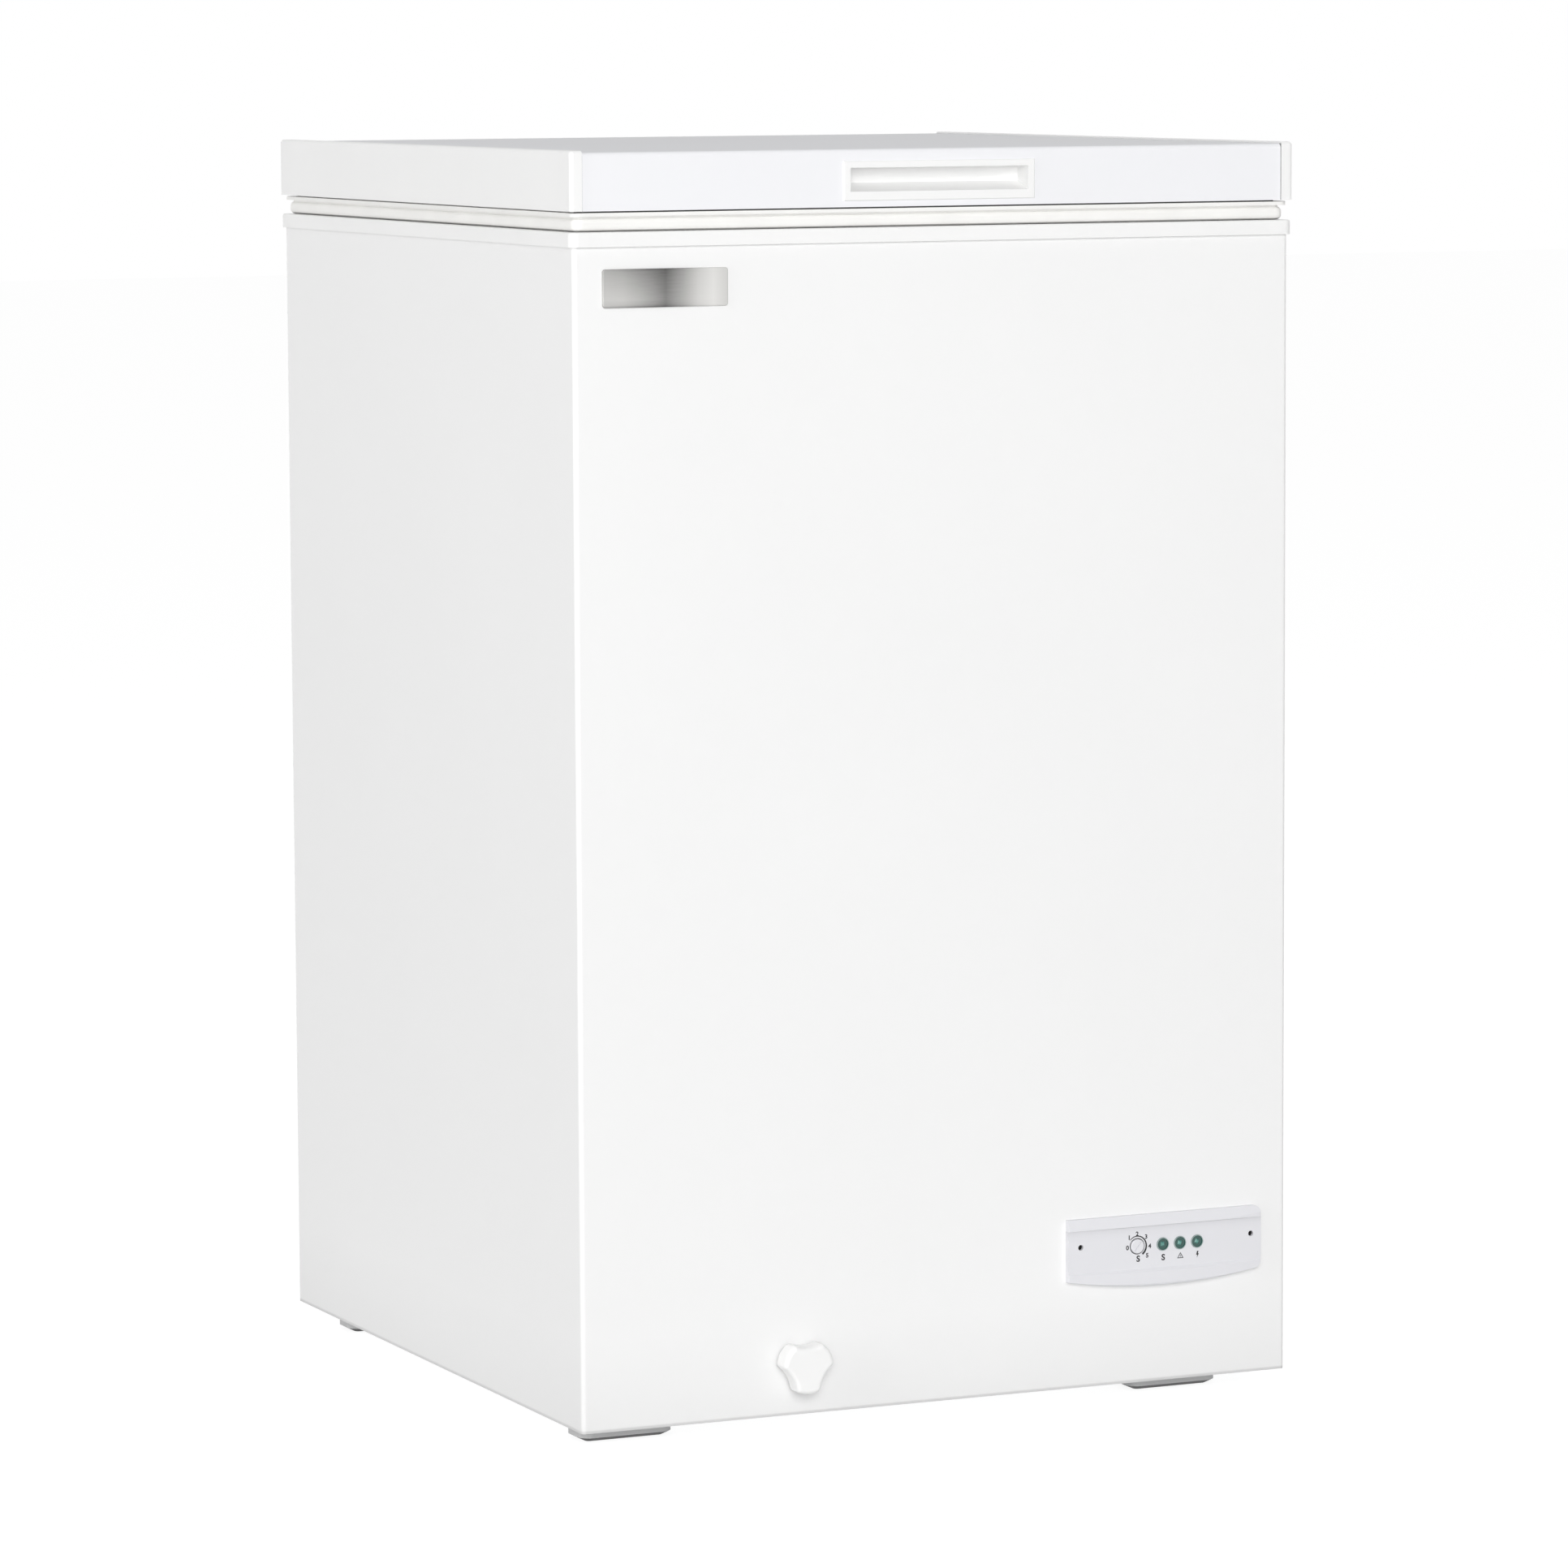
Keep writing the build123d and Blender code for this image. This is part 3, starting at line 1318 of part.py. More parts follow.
# Lid: folded steel skin between two plastic end caps, over foam and an inner liner
handle_top = lid_top - handle_drop
handle_low = handle_top - handle_height
handle_open_half = handle_width / 2 - handle_border
handle_pocket_half = handle_open_half + handle_shell
handle_pocket_low = handle_low + handle_floor_front - handle_shell
handle_pocket_high = handle_top - handle_ceiling + handle_shell
handle_back = -lid_half_depth + handle_depth
with BuildPart() as lid_skin:
    with BuildSketch(Plane.YZ.offset(-skin_half_width)) as skin_section:
        with Locations((0, (lid_bottom + skin_top) / 2)):
            Rectangle(2 * skin_half_depth, skin_top - lid_bottom)
        fillet(skin_section.vertices().group_by(Axis.Y)[-1], skin_bend)
    extrude(amount=2 * skin_half_width)
    with BuildSketch(Plane.YZ.offset(-skin_half_width)) as skin_inside:
        with Locations((0, (lid_bottom + skin_top) / 2)):
            Rectangle(2 * (skin_half_depth - sheet), skin_top - lid_bottom - 2 * sheet)
        fillet(skin_inside.vertices().group_by(Axis.Y)[-1], skin_bend - sheet)
        return_edge = skin_half_depth - skin_return
        with Locations((0, lid_bottom + sheet)):
            Rectangle(2 * return_edge, 4 * sheet)
    extrude(amount=2 * skin_half_width, mode=Mode.SUBTRACT)
    block(
        (-handle_pocket_half - fit, -lid_half_depth, handle_pocket_low - fit),
        (handle_pocket_half + fit, -skin_half_depth + 2 * sheet, handle_pocket_high + fit),
        Mode.SUBTRACT,
    )
    drill(arm_screws_at, screw_shank + fit, screw_length)
keep(lid_skin, "lid_skin")

with BuildPart() as lid_end_cap_left:
    cap_inner_x = -lid_half_width + cap_width
    cap_wall_x = -lid_half_width + cap_wall
    block((-lid_half_width, -lid_half_depth, lid_bottom), (cap_inner_x, lid_half_depth, lid_top))
    outer_posts = lid_end_cap_left.edges().filter_by(Axis.Z).group_by(Axis.X)[0]
    fillet(outer_posts, cap_corner)
    top_loop = lid_end_cap_left.faces().sort_by(Axis.Z)[-1].edges()
    fillet(top_loop.filter_by(lambda e: e.center().X < cap_inner_x - fit), cap_round)
    block(
        (cap_wall_x, -skin_half_depth, lid_bottom),
        (cap_inner_x, skin_half_depth, skin_top),
        Mode.SUBTRACT,
    )
    ledge_half = skin_half_depth - skin_return - slip
    ledge_x = cap_wall_x + cap_ledge_width
    block((cap_wall_x, -ledge_half, lid_bottom), (ledge_x, ledge_half, lid_bottom + sheet))
keep(lid_end_cap_left, "lid_end_cap_left")

with BuildPart() as lid_end_cap_right:
    add(lid_end_cap_left.part.mirror(Plane.YZ))
keep(lid_end_cap_right, "lid_end_cap_right")

liner_low = lid_bottom + sheet
liner_high = liner_low + lid_liner_sheet
plug_half = (mouth_half_width - plug_inset, mouth_half_depth - plug_inset)
plug_low = lid_bottom - plug_drop
plug_corner = 2 * plug_round
with BuildPart() as lid_liner:
    with BuildSketch(Plane.XY.offset(plug_low)):
        RectangleRounded(2 * plug_half[0], 2 * plug_half[1], plug_corner)
    extrude(amount=liner_high - plug_low)
    fillet(lid_liner.faces().sort_by(Axis.Z)[0].edges(), plug_round)
    block(
        (-skin_half_width, -skin_half_depth + sheet, liner_low),
        (skin_half_width, skin_half_depth - sheet, liner_high),
    )
    with BuildSketch(Plane.XY.offset(plug_low + lid_liner_sheet)):
        RectangleRounded(
            2 * (plug_half[0] - lid_liner_sheet),
            2 * (plug_half[1] - lid_liner_sheet),
            plug_corner - lid_liner_sheet,
        )
    extrude(amount=liner_high, mode=Mode.SUBTRACT)
keep(lid_liner, "lid_liner")

with BuildPart() as lid_foam:
    with BuildSketch(Plane.YZ.offset(-skin_half_width)) as foam_section:
        with Locations((0, (liner_high + skin_top - sheet) / 2)):
            Rectangle(2 * (skin_half_depth - sheet), skin_top - sheet - liner_high)
        fillet(foam_section.vertices().group_by(Axis.Y)[-1], skin_bend - sheet)
    extrude(amount=2 * skin_half_width)
    with BuildSketch(Plane.XY.offset(plug_low + lid_liner_sheet)):
        RectangleRounded(
            2 * (plug_half[0] - lid_liner_sheet),
            2 * (plug_half[1] - lid_liner_sheet),
            plug_corner - lid_liner_sheet,
        )
    extrude(amount=liner_high - plug_low)
    block(
        (-handle_pocket_half, -lid_half_depth, handle_pocket_low),
        (handle_pocket_half, handle_back + handle_shell, handle_pocket_high),
        Mode.SUBTRACT,
    )
    drill(arm_screws_at, screw_shank + fit, screw_length + fit)
keep(lid_foam, "lid_foam")

with BuildPart() as lid_handle:
    block(
        (-handle_width / 2, -lid_half_depth, handle_low),
        (handle_width / 2, -skin_half_depth, handle_top),
    )
    fillet(lid_handle.faces().sort_by(Axis.Y)[0].edges(), handle_edge)
    block(
        (-handle_pocket_half, -skin_half_depth, handle_pocket_low),
        (handle_pocket_half, handle_back + handle_shell, handle_pocket_high),
    )
    with BuildSketch(Plane.YZ.offset(-handle_open_half)):
        with BuildLine():
            Polyline(
                (-lid_half_depth, handle_low + handle_floor_front),
                (handle_back, handle_low + handle_floor_back),
                (handle_back, handle_top - handle_ceiling),
                (-lid_half_depth, handle_top - handle_ceiling),
                close=True,
            )
        make_face()
    extrude(amount=2 * handle_open_half, mode=Mode.SUBTRACT)
keep(lid_handle, "lid_handle")

# Magnetic gasket: lip under the lid, neck, and a bulb that closes on the collar
bulb_low = collar_top + gasket_rest
bulb_high = lid_bottom - gasket_lip - gasket_neck


def gasket_ring(z_low, z_high, inset, width, corner):
    """One level of the gasket, measured in from the lid's outline."""
    outer = (lid_half_width - inset, lid_half_depth - inset)
    inner = (outer[0] - width, outer[1] - width)
    ring(z_low, z_high, outer, corner, inner, corner / 2)


magnet_x = lid_half_width - gasket_bulb_inset - gasket_bulb_width / 2
magnet_y = lid_half_depth - gasket_bulb_inset - gasket_bulb_width / 2
magnet_z = (bulb_low + bulb_high) / 2
magnet_sizes = [(2 * (magnet_x - magnet_end), magnet_width), (magnet_width, 2 * (magnet_y - magnet_end))]
magnet_places = [[(0, -magnet_y), (0, magnet_y)], [(-magnet_x, 0), (magnet_x, 0)]]


def magnet_bars(grow, mode=Mode.ADD):
    """The four bars in the gasket's bulb, each grown by a clearance."""
    for (length, depth), places in zip(magnet_sizes, magnet_places):
        for x, y in places:
            with Locations((x, y, magnet_z)):
                Box(length + 2 * grow, depth + 2 * grow, magnet_height + 2 * grow, mode=mode)


with BuildPart() as lid_gasket:
    gasket_ring(bulb_low, bulb_high, gasket_bulb_inset, gasket_bulb_width, gasket_corner)
    rims = lid_gasket.faces().filter_by(Axis.Z).edges()
    fillet(rims, gasket_bulb_round)
    neck_low = bulb_high - slip
    lip_low = lid_bottom - gasket_lip
    gasket_ring(neck_low, lip_low + slip, gasket_neck_inset, gasket_neck_width, gasket_corner)
    rebate_low = lid_bottom - gasket_rebate
    gasket_ring(lip_low, rebate_low, gasket_lip_inset, gasket_lip_width, gasket_corner)
    seat_inset = gasket_lip_inset + gasket_rebate_depth
    seat_width = gasket_lip_width - gasket_rebate_depth
    gasket_ring(rebate_low - slip, lid_bottom, seat_inset, seat_width, gasket_corner)
    magnet_bars(fit, Mode.SUBTRACT)
keep(lid_gasket, "lid_gasket")

with BuildPart() as gasket_magnets:
    magnet_bars(0)
keep(gasket_magnets, "gasket_magnets")

# Wire basket that hangs from the collar by two handles and slides along it
basket_x = mouth_half_width - basket_gap - basket_width / 2
rim_half_x = basket_width / 2 - basket_rim_wire
rim_half_y = mouth_half_depth - basket_gap - basket_rim_wire
rim_z = collar_top - basket_drop
wire_top = rim_z - basket_rim_wire - weld
long_z = rim_z - basket_height
cross_z = long_z - 2 * basket_wire - weld
belt_gap = 2 * basket_wire + weld
wire_bend = 4 * basket_wire
handle_z = collar_top + slip + basket_rim_wire
handle_y = mouth_half_depth + basket_handle_reach


def spread(count, reach):
    """Evenly spaced places from minus reach to plus reach."""
    return [reach * (2 * i / (count - 1) - 1) for i in range(count)]


def hoop(half_x, half_y, z, radius):
    """A closed rectangular hoop of wire round the basket."""
    with BuildLine() as path:
        corners = [(-half_x, -half_y), (half_x, -half_y), (half_x, half_y), (-half_x, half_y)]
        FilletPolyline(*[(basket_x + x, y, z) for x, y in corners], radius=basket_corner, close=True)
    with BuildSketch(Plane(path.line @ 0, z_dir=path.line % 0)) as section:
        Circle(radius)
    sweep(section.sketch, path=path.line)


with BuildPart() as wire_basket:
    hoop(rim_half_x, rim_half_y, rim_z, basket_rim_wire)
    hoop(rim_half_x + belt_gap, rim_half_y + belt_gap, rim_z - basket_height / 2, basket_wire)
    for dx in spread(basket_long_wires, rim_half_x - basket_corner - basket_wire):
        x = basket_x + dx
        tube(
            [
                (x, -rim_half_y, wire_top),
                (x, -rim_half_y, long_z),
                (x, rim_half_y, long_z),
                (x, rim_half_y, wire_top),
            ],
            wire_bend,
            basket_wire,
        )
    for y in spread(basket_cross_wires, rim_half_y - basket_corner - wire_bend):
        left = basket_x - rim_half_x
        right = basket_x + rim_half_x
        tube(
            [(left, y, wire_top), (left, y, cross_z), (right, y, cross_z), (right, y, wire_top)],
            wire_bend,
            basket_wire,
        )
    for side in (-1, 1):
        left = basket_x - basket_handle_width / 2
        right = basket_x + basket_handle_width / 2
        handle_foot = rim_z + basket_rim_wire + weld
        tube(
            [
                (left, side * rim_half_y, handle_foot),
                (left, side * rim_half_y, handle_z),
                (left, side * handle_y, handle_z),
                (right, side * handle_y, handle_z),
                (right, side * rim_half_y, handle_z),
                (right, side * rim_half_y, handle_foot),
            ],
            2 * basket_rim_wire,
            basket_rim_wire,
        )
keep(wire_basket, "wire_basket")
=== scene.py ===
import json
from math import cos, pi, radians, sin

import bmesh
import bpy
from bpy.props import FloatProperty, FloatVectorProperty, PointerProperty
from bpy.types import Operator, Panel, PropertyGroup
from mathutils import Matrix, Vector


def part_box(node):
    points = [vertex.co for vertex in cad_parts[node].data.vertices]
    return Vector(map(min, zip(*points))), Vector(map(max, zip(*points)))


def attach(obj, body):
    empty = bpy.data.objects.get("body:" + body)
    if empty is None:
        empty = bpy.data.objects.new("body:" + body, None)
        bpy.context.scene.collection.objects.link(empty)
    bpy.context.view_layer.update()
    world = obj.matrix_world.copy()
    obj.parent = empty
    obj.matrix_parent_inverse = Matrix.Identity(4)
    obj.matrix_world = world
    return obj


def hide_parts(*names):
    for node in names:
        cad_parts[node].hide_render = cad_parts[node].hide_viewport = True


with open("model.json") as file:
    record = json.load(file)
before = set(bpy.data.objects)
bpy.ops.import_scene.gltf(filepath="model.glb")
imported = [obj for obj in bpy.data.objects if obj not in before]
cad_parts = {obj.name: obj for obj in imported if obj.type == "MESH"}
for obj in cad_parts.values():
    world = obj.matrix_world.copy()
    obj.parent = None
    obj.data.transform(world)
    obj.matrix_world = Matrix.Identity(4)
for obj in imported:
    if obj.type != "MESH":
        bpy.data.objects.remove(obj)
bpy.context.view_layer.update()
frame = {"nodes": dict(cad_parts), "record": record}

bl_info = {
    "name": "Chest freezer looks",
    "version": (1, 0, 0),
    "blender": (4, 5, 0),
    "location": "3D View > Sidebar > Freezer",
    "description": "Finishes, printed scale, lamp lenses and studio for a small chest freezer",
    "category": "Object",
}


def middle(node):
    """Middle of a CAD node's box."""
    low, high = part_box(node)
    return (low + high) / 2


MM = 0.001
WHITE = (1.0, 1.0, 1.0, 1.0)
BLACK = (0.02, 0.02, 0.021)

LAMPS = ("indicator_lamp_super", "indicator_lamp_alarm", "indicator_lamp_power")
LAMP_PROUD = 1.2 * MM
PANEL_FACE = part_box(LAMPS[0])[0].y + LAMP_PROUD
DIAL = middle("thermostat_dial")

# Shade up the cabinet's folded lower edge: its height, and levels at shares of it
HEM = 60.0 * MM
HEM_LEVELS = ((0.0, 0.7), (0.02, 0.72), (0.04, 0.94), (0.4, 0.965), (1.0, 1.0))

# Painted shade on the lid beside each end cap, where the cap's edge shades the skin: how far the cap
# covers, and the shade's width
CAP_COVER = 8.3 * MM
SEAM = 0.6 * MM
SEAM_LEVEL = 0.35

# Painted shade where the seal rests on the collar: its height, levels up it, and how far in it goes
REST = 1.5 * MM
REST_LEVELS = ((0.0, 0.4), (0.45, 0.45), (0.9, 1.0))
REST_REACH = 5.6 * MM

# Painted shade in the gap on top of the seal's front, under the lid: its height, its level, and how
# far in it goes
GAP = 1.05 * MM
GAP_LEVEL = 0.25
GAP_REACH = 12.0 * MM

# Shade under the panel's ledge: a depth from the panel's top, and levels at shares of it
LEDGE = 16.0 * MM
LEDGE_LEVELS = ((0.0, 1.0), (0.468, 1.0), (0.49, 0.87), (0.6, 0.93), (0.72, 0.97), (1.0, 1.0))

# Painted sheen of the name plate, dark and light reflection bands along its length: a share, then its
# level inside and at the edges
PLATE_BANDS = (
    (0.0, 0.85, 0.53),
    (0.16, 0.84, 0.39),
    (0.28, 0.69, 0.23),
    (0.4, 0.48, 0.12),
    (0.5, 0.27, 0.03),
    (0.64, 0.6, 0.38),
    (0.76, 0.94, 0.8),
    (0.88, 1.12, 1.05),
    (1.0, 0.9, 0.9),
)
# How far up the plate the painted sheen takes its edge levels: a share up the plate, then that weight
PLATE_EDGES = ((0.0, 1.0), (0.07, 0.25), (0.2, 0.0), (0.75, 0.5), (0.92, 0.7), (1.0, 1.0))

# Printed letters: how far their outline grows, at a text size of 1
LETTER_WEIGHT = 0.034

# Corners of a new piece that are nearer than this are merged
MERGE = 1e-7


def colour_property(name, description, default):
    """A colour that a user may change."""
    return FloatVectorProperty(
        name=name, description=description, default=default, subtype="COLOR", size=3, min=0.0, max=1.0
    )


def length_property(name, description, default):
    """A length that a user may change, in metres."""
    return FloatProperty(
        name=name, description=description, default=default, unit="LENGTH", precision=5
    )


def angle_property(name, description, degrees):
    """An angle that a user may change."""
    return FloatProperty(
        name=name, description=description, default=radians(degrees), subtype="ANGLE"
    )


def power_property(name, description, default):
    """A lamp's power that a user may change, in watts."""
    return FloatProperty(name=name, description=description, default=default, unit="POWER")


class FreezerColours(PropertyGroup):
    """Colours of the freezer's finishes."""

    cabinet: colour_property("Cabinet paint", "Paint on the front and sides", (0.92, 0.92, 0.918))
    lid: colour_property("Lid paint", "Paint on the lid", (0.9, 0.903, 0.925))
    trim: colour_property("White plastic", "Collar, end caps and hand recess", (0.925, 0.925, 0.92))
    panel: colour_property("Panel plastic", "Control panel", (0.79, 0.79, 0.82))
    seal: colour_property("Seal", "Gasket round the lid", (0.93, 0.925, 0.905))
    foot: colour_property("Feet", "Plastic of the feet", (0.6, 0.6, 0.6))
    badge: colour_property("Name plate", "Brushed plate on the front", (0.61, 0.605, 0.59))
    ink: colour_property("Ink", "Printed scale and symbols", (0.012, 0.012, 0.014))
    lens: colour_property("Lamp lens", "Deep colour of the lamp lenses", (0.012, 0.075, 0.062))
    # The facets' lighter colour is painted light, seen through the clear lens.
    facet: colour_property("Lens facets", "Light facets inside the lamp lenses", (0.1, 0.3, 0.26))


class FreezerSizes(PropertyGroup):
    """Sizes of what is printed on the panel and of the lamp lenses."""

    ink: length_property("Ink", "Thickness of the print", 0.04 * MM)
    digit: length_property("Digits", "Height of the scale's digits", 3.2 * MM)
    letter: length_property("Letters", "Height of the letters", 4.4 * MM)
    arc: length_property("Arc", "Middle radius of the printed arc", 6.9 * MM)
    ring: length_property("Ring", "Inner radius of the printed ring", 5.2 * MM)
    symbols: length_property("Symbols", "Drop from the lamps to their symbols", 9.0 * MM)
    bezel: length_property("Lens rim", "Width of the rim round a lens", 0.55 * MM)


class FreezerStudio(PropertyGroup):
    """Camera and lamps."""

    yaw: angle_property("Yaw", "Camera's turn about the freezer", -24.2463)
    pitch: angle_property("Pitch", "Camera's height angle", 6.2745)
    roll: angle_property("Roll", "Camera's tilt", -0.2806)
    distance: length_property("Distance", "Camera's distance", 4.83774)
    across: length_property("Across", "Sideways place of the camera's aim", 0.006212)
    aim: length_property("Aim", "Height of the camera's aim", 0.402837)
    lens: FloatProperty(
        name="Lens", description="Focal length", default=159.1905, subtype="DISTANCE_CAMERA"
    )
    key: power_property("Key", "Lamp in front", 412.0)
    fill: power_property("Fill", "Lamp on the left", 55.0)
    top: power_property("Top", "Lamp overhead", 13.0)
    ambient: FloatProperty(
        name="Ambient", description="Level of the light all round", default=0.3
    )


class Value:
    """An output socket of a node tree. Arithmetic on values adds Math nodes."""

    def __init__(self, nodes, socket):
        self.nodes = nodes
        self.socket = socket

    def math(self, operation, first, second):
        sockets = {0: first, 1: second}
        return self.nodes.node("ShaderNodeMath", 0, {"operation": operation}, sockets)

    def __add__(self, other):
        return self.math("ADD", self, other)

    __radd__ = __add__

    def __sub__(self, other):
        return self.math("SUBTRACT", self, other)

    def __rsub__(self, other):
        return self.math("SUBTRACT", other, self)

    def __mul__(self, other):
        return self.math("MULTIPLY", self, other)

    __rmul__ = __mul__

    def __or__(self, other):
        return self.math("MAXIMUM", self, other)

    def __gt__(self, other):
        return self.math("GREATER_THAN", self, other)

    def __abs__(self):
        return self.math("ABSOLUTE", self, 0.0)


class Nodes:
    """A node tree that is built from nothing."""

    def __init__(self, tree):
        self.tree = tree
        self.tree.nodes.clear()

    def node(self, kind, output=0, settings=None, sockets=None):
        """Add a node, set its settings, then its sockets, and give one of its outputs."""
        made = self.tree.nodes.new(kind)
        for name, setting in (settings or {}).items():
            if name == "stops":
                ramp = made.color_ramp.elements
                while len(ramp) < len(setting):
                    ramp.new(1.0)
                for stop, (position, colour) in zip(ramp, setting):
                    stop.position = position
                    stop.color = colour
            else:
                setattr(made, name, setting)
        for key, value in (sockets or {}).items():
            if isinstance(value, Value):
                self.tree.links.new(value.socket, made.inputs[key])
            else:
                made.inputs[key].default_value = value
        return Value(self, made.outputs[output]) if len(made.outputs) else None

    def mix_shader(self, factor, first, second):
        return self.node("ShaderNodeMixShader", 0, {}, {0: factor, 1: first, 2: second})

    def seen(self):
        """1 where the camera sees the background, also in gloss and through glass."""
        camera, glossy, transmission = (
            self.node("ShaderNodeLightPath", f"Is {ray} Ray")
            for ray in ("Camera", "Glossy", "Transmission")
        )
        return camera | glossy | transmission


class Finish(Nodes):
    """A material whose patterns follow the object's own coordinates."""

    def __init__(self, name):
        self.material = bpy.data.materials.new(name)
        self.material.use_nodes = True
        super().__init__(self.material.node_tree)
        self.place = self.node("ShaderNodeTexCoord", "Object")

    def mapped(self, **sockets):
        return self.node("ShaderNodeMapping", 0, {}, {"Vector": self.place, **sockets})

    def noise(self, scale, detail=2.0, stretch=None):
        place = self.mapped(Scale=stretch) if stretch else self.place
        sockets = {"Vector": place, "Scale": scale, "Detail": detail}
        return self.node("ShaderNodeTexNoise", 0, {}, sockets)

    def cells(self, scale, feature="F1", output="Distance"):
        sockets = {"Vector": self.place, "Scale": scale}
        return self.node("ShaderNodeTexVoronoi", output, {"feature": feature}, sockets)

    def along(self, axis, place=None):
        return self.node("ShaderNodeSeparateXYZ", axis, {}, {0: place or self.place})

    def ramp(self, factor, stops):
        return self.node("ShaderNodeValToRGB", 0, {"stops": stops}, {0: factor})

    def levels(self, factor, stops):
        """Grey levels at places along a factor."""
        return self.ramp(factor, [(place, grey(level)) for place, level in stops])

    def mix(self, factor, first, second, blend="MIX"):
        settings = {"data_type": "RGBA", "blend_type": blend}
        return self.node("ShaderNodeMix", 2, settings, {0: factor, 6: first, 7: second})

    def times(self, first, second):
        return self.mix(1.0, first, second, "MULTIPLY")

    def tone(self, pattern, colour, dark, light, shading=None):
        """A colour that a pattern takes from one level to another, under a shading."""
        plain = self.mix(pattern, shade(colour, dark), shade(colour, light))
        return self.times(plain, shading(self)) if shading else plain

    def bump(self, height, depth):
        sockets = {"Height": height, "Distance": depth, "Strength": 1.0}
        return self.node("ShaderNodeBump", 0, {}, sockets)

    def output(self, shader):
        self.node("ShaderNodeOutputMaterial", 0, {}, {"Surface": shader})
        return self.material

    def surface(self, sockets):
        return self.output(self.node("ShaderNodeBsdfPrincipled", 0, {}, sockets))


def shade(colour, level=1.0):
    """A colour with an alpha, lighter or darker."""
    return tuple(min(1.0, c * level) for c in colour) + (1.0,)


def grey(level):
    """A grey with an alpha."""
    return (level, level, level, 1.0)


def between(pattern, least, most):
    """A number that a pattern takes from one value to another."""
    return least + (most - least) * pattern


def hem_shade(finish):
    """Painted shade, darker towards the folded lower edge of the cabinet where less light reaches."""
    rise = (finish.along(2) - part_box("cabinet_wrap")[0].z) * (1.0 / HEM)
    return finish.levels(rise, HEM_LEVELS)


def seam_shade(finish):
    """Painted shade along each end cap of the lid, where the cap's edge shades the skin."""
    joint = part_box("lid_end_cap_right")[1].x - CAP_COVER - SEAM
    return finish.mix(abs(finish.along(0)) > joint, WHITE, grey(SEAM_LEVEL))


def rest_shade(finish):
    """Painted shade on the seal: a line outside where it rests on the collar, and in its front gap
    under the lid.
    """
    low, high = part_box("lid_gasket")
    x, y, z = (finish.along(axis) for axis in range(3))
    line = finish.levels((z - low.z) * (1.0 / REST), REST_LEVELS)
    outside = (abs(x) > high.x - REST_REACH) | (abs(y) > high.y - REST_REACH)
    under_lid = (z > high.z - GAP) * (-1.0 * y > high.y - GAP_REACH)
    gap_shade = finish.mix(under_lid, WHITE, grey(GAP_LEVEL))
    return finish.times(gap_shade, finish.mix(outside, WHITE, line))


def ledge_shade(finish):
    """Shade on the panel's face under its ledge, fading downwards."""
    drop = (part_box("control_fascia")[1].z - finish.along(2)) * (1.0 / LEDGE)
    return finish.levels(drop, LEDGE_LEVELS)


def painted(name, colour, roughness=0.34, peel=0.03 * MM, specular=0.4, shading=None):
    """Sprayed paint on sheet: faint clouds, and the fine skin that a spray gun leaves."""
    finish = Finish(name)
    clouds = finish.noise(scale=5.0, detail=3.0)
    skin = finish.noise(scale=900.0)
    return finish.surface(
        {
            "Base Color": finish.tone(clouds, colour, 0.985, 1.012, shading),
            "Roughness": between(skin, roughness - 0.05, roughness + 0.05),
            "Specular IOR Level": specular,
            "Normal": finish.bump(skin, peel),
        }
    )


def moulded(name, colour, roughness=0.42, grain=1500.0, depth=0.03 * MM, shading=None):
    """Moulded plastic: spark-eroded grain, slight flow marks."""
    finish = Finish(name)
    flow = finish.noise(scale=14.0, stretch=(1.0, 1.0, 0.3))
    pits = finish.noise(scale=grain, detail=1.0)
    return finish.surface(
        {
            "Base Color": finish.tone(flow, colour, 0.975, 1.02, shading),
            "Roughness": between(pits, roughness - 0.06, roughness + 0.06),
            "Normal": finish.bump(pits, depth),
        }
    )


def plastic_over_painted_shade(name, colour, shade_colour, height):
    """Grained plastic above a near-black band of painted shade, of a given height along its bottom.
    """
    finish = Finish(name)
    pits = finish.noise(scale=900.0, detail=1.0)
    return finish.surface(
        {
            "Base Color": finish.mix(finish.along(2) > height, shade(shade_colour), shade(colour)),
            "Roughness": between(pits, 0.45, 0.57),
            "Normal": finish.bump(pits, 0.05 * MM),
        }
    )


def soft(name, colour, roughness=0.55, shading=None):
    """Rubber or soft vinyl: dull, with a fine bloom."""
    finish = Finish(name)
    bloom = finish.noise(scale=35.0, detail=4.0)
    grain = finish.noise(scale=1100.0)
    return finish.surface(
        {
            "Base Color": finish.tone(bloom, colour, 0.94, 1.04, shading),
            "Roughness": between(bloom, roughness - 0.08, roughness + 0.08),
            "Specular IOR Level": 0.35,
            "Normal": finish.bump(grain, 0.04 * MM),
        }
    )


def foamed(name, colour):
    """Rigid foam: tiny open cells on a cut face and darker clouds."""
    finish = Finish(name)
    clouds = finish.noise(scale=22.0, detail=4.0)
    bubbles = finish.cells(scale=700.0)
    return finish.surface(
        {
            "Base Color": finish.tone(clouds, colour, 0.86, 1.04),
            "Roughness": between(bubbles, 0.95, 0.85),
            "Specular IOR Level": 0.1,
            "Normal": finish.bump(bubbles, 0.3 * MM),
        }
    )


def spangled(name, colour):
    """Galvanised sheet: flat zinc crystals, each with its own tone."""
    finish = Finish(name)
    crystals = finish.cells(scale=130.0, output="Color")
    glint = finish.node("ShaderNodeSeparateColor", 0, {}, {0: crystals})
    scratches = finish.noise(scale=60.0, detail=4.0, stretch=(0.4, 6.0, 6.0))
    return finish.surface(
        {
            "Base Color": finish.tone(glint, colour, 0.87, 1.06),
            "Metallic": 0.9,
            "Roughness": between(glint, 0.36, 0.46),
            "Normal": finish.bump(scratches, 0.02 * MM),
        }
    )


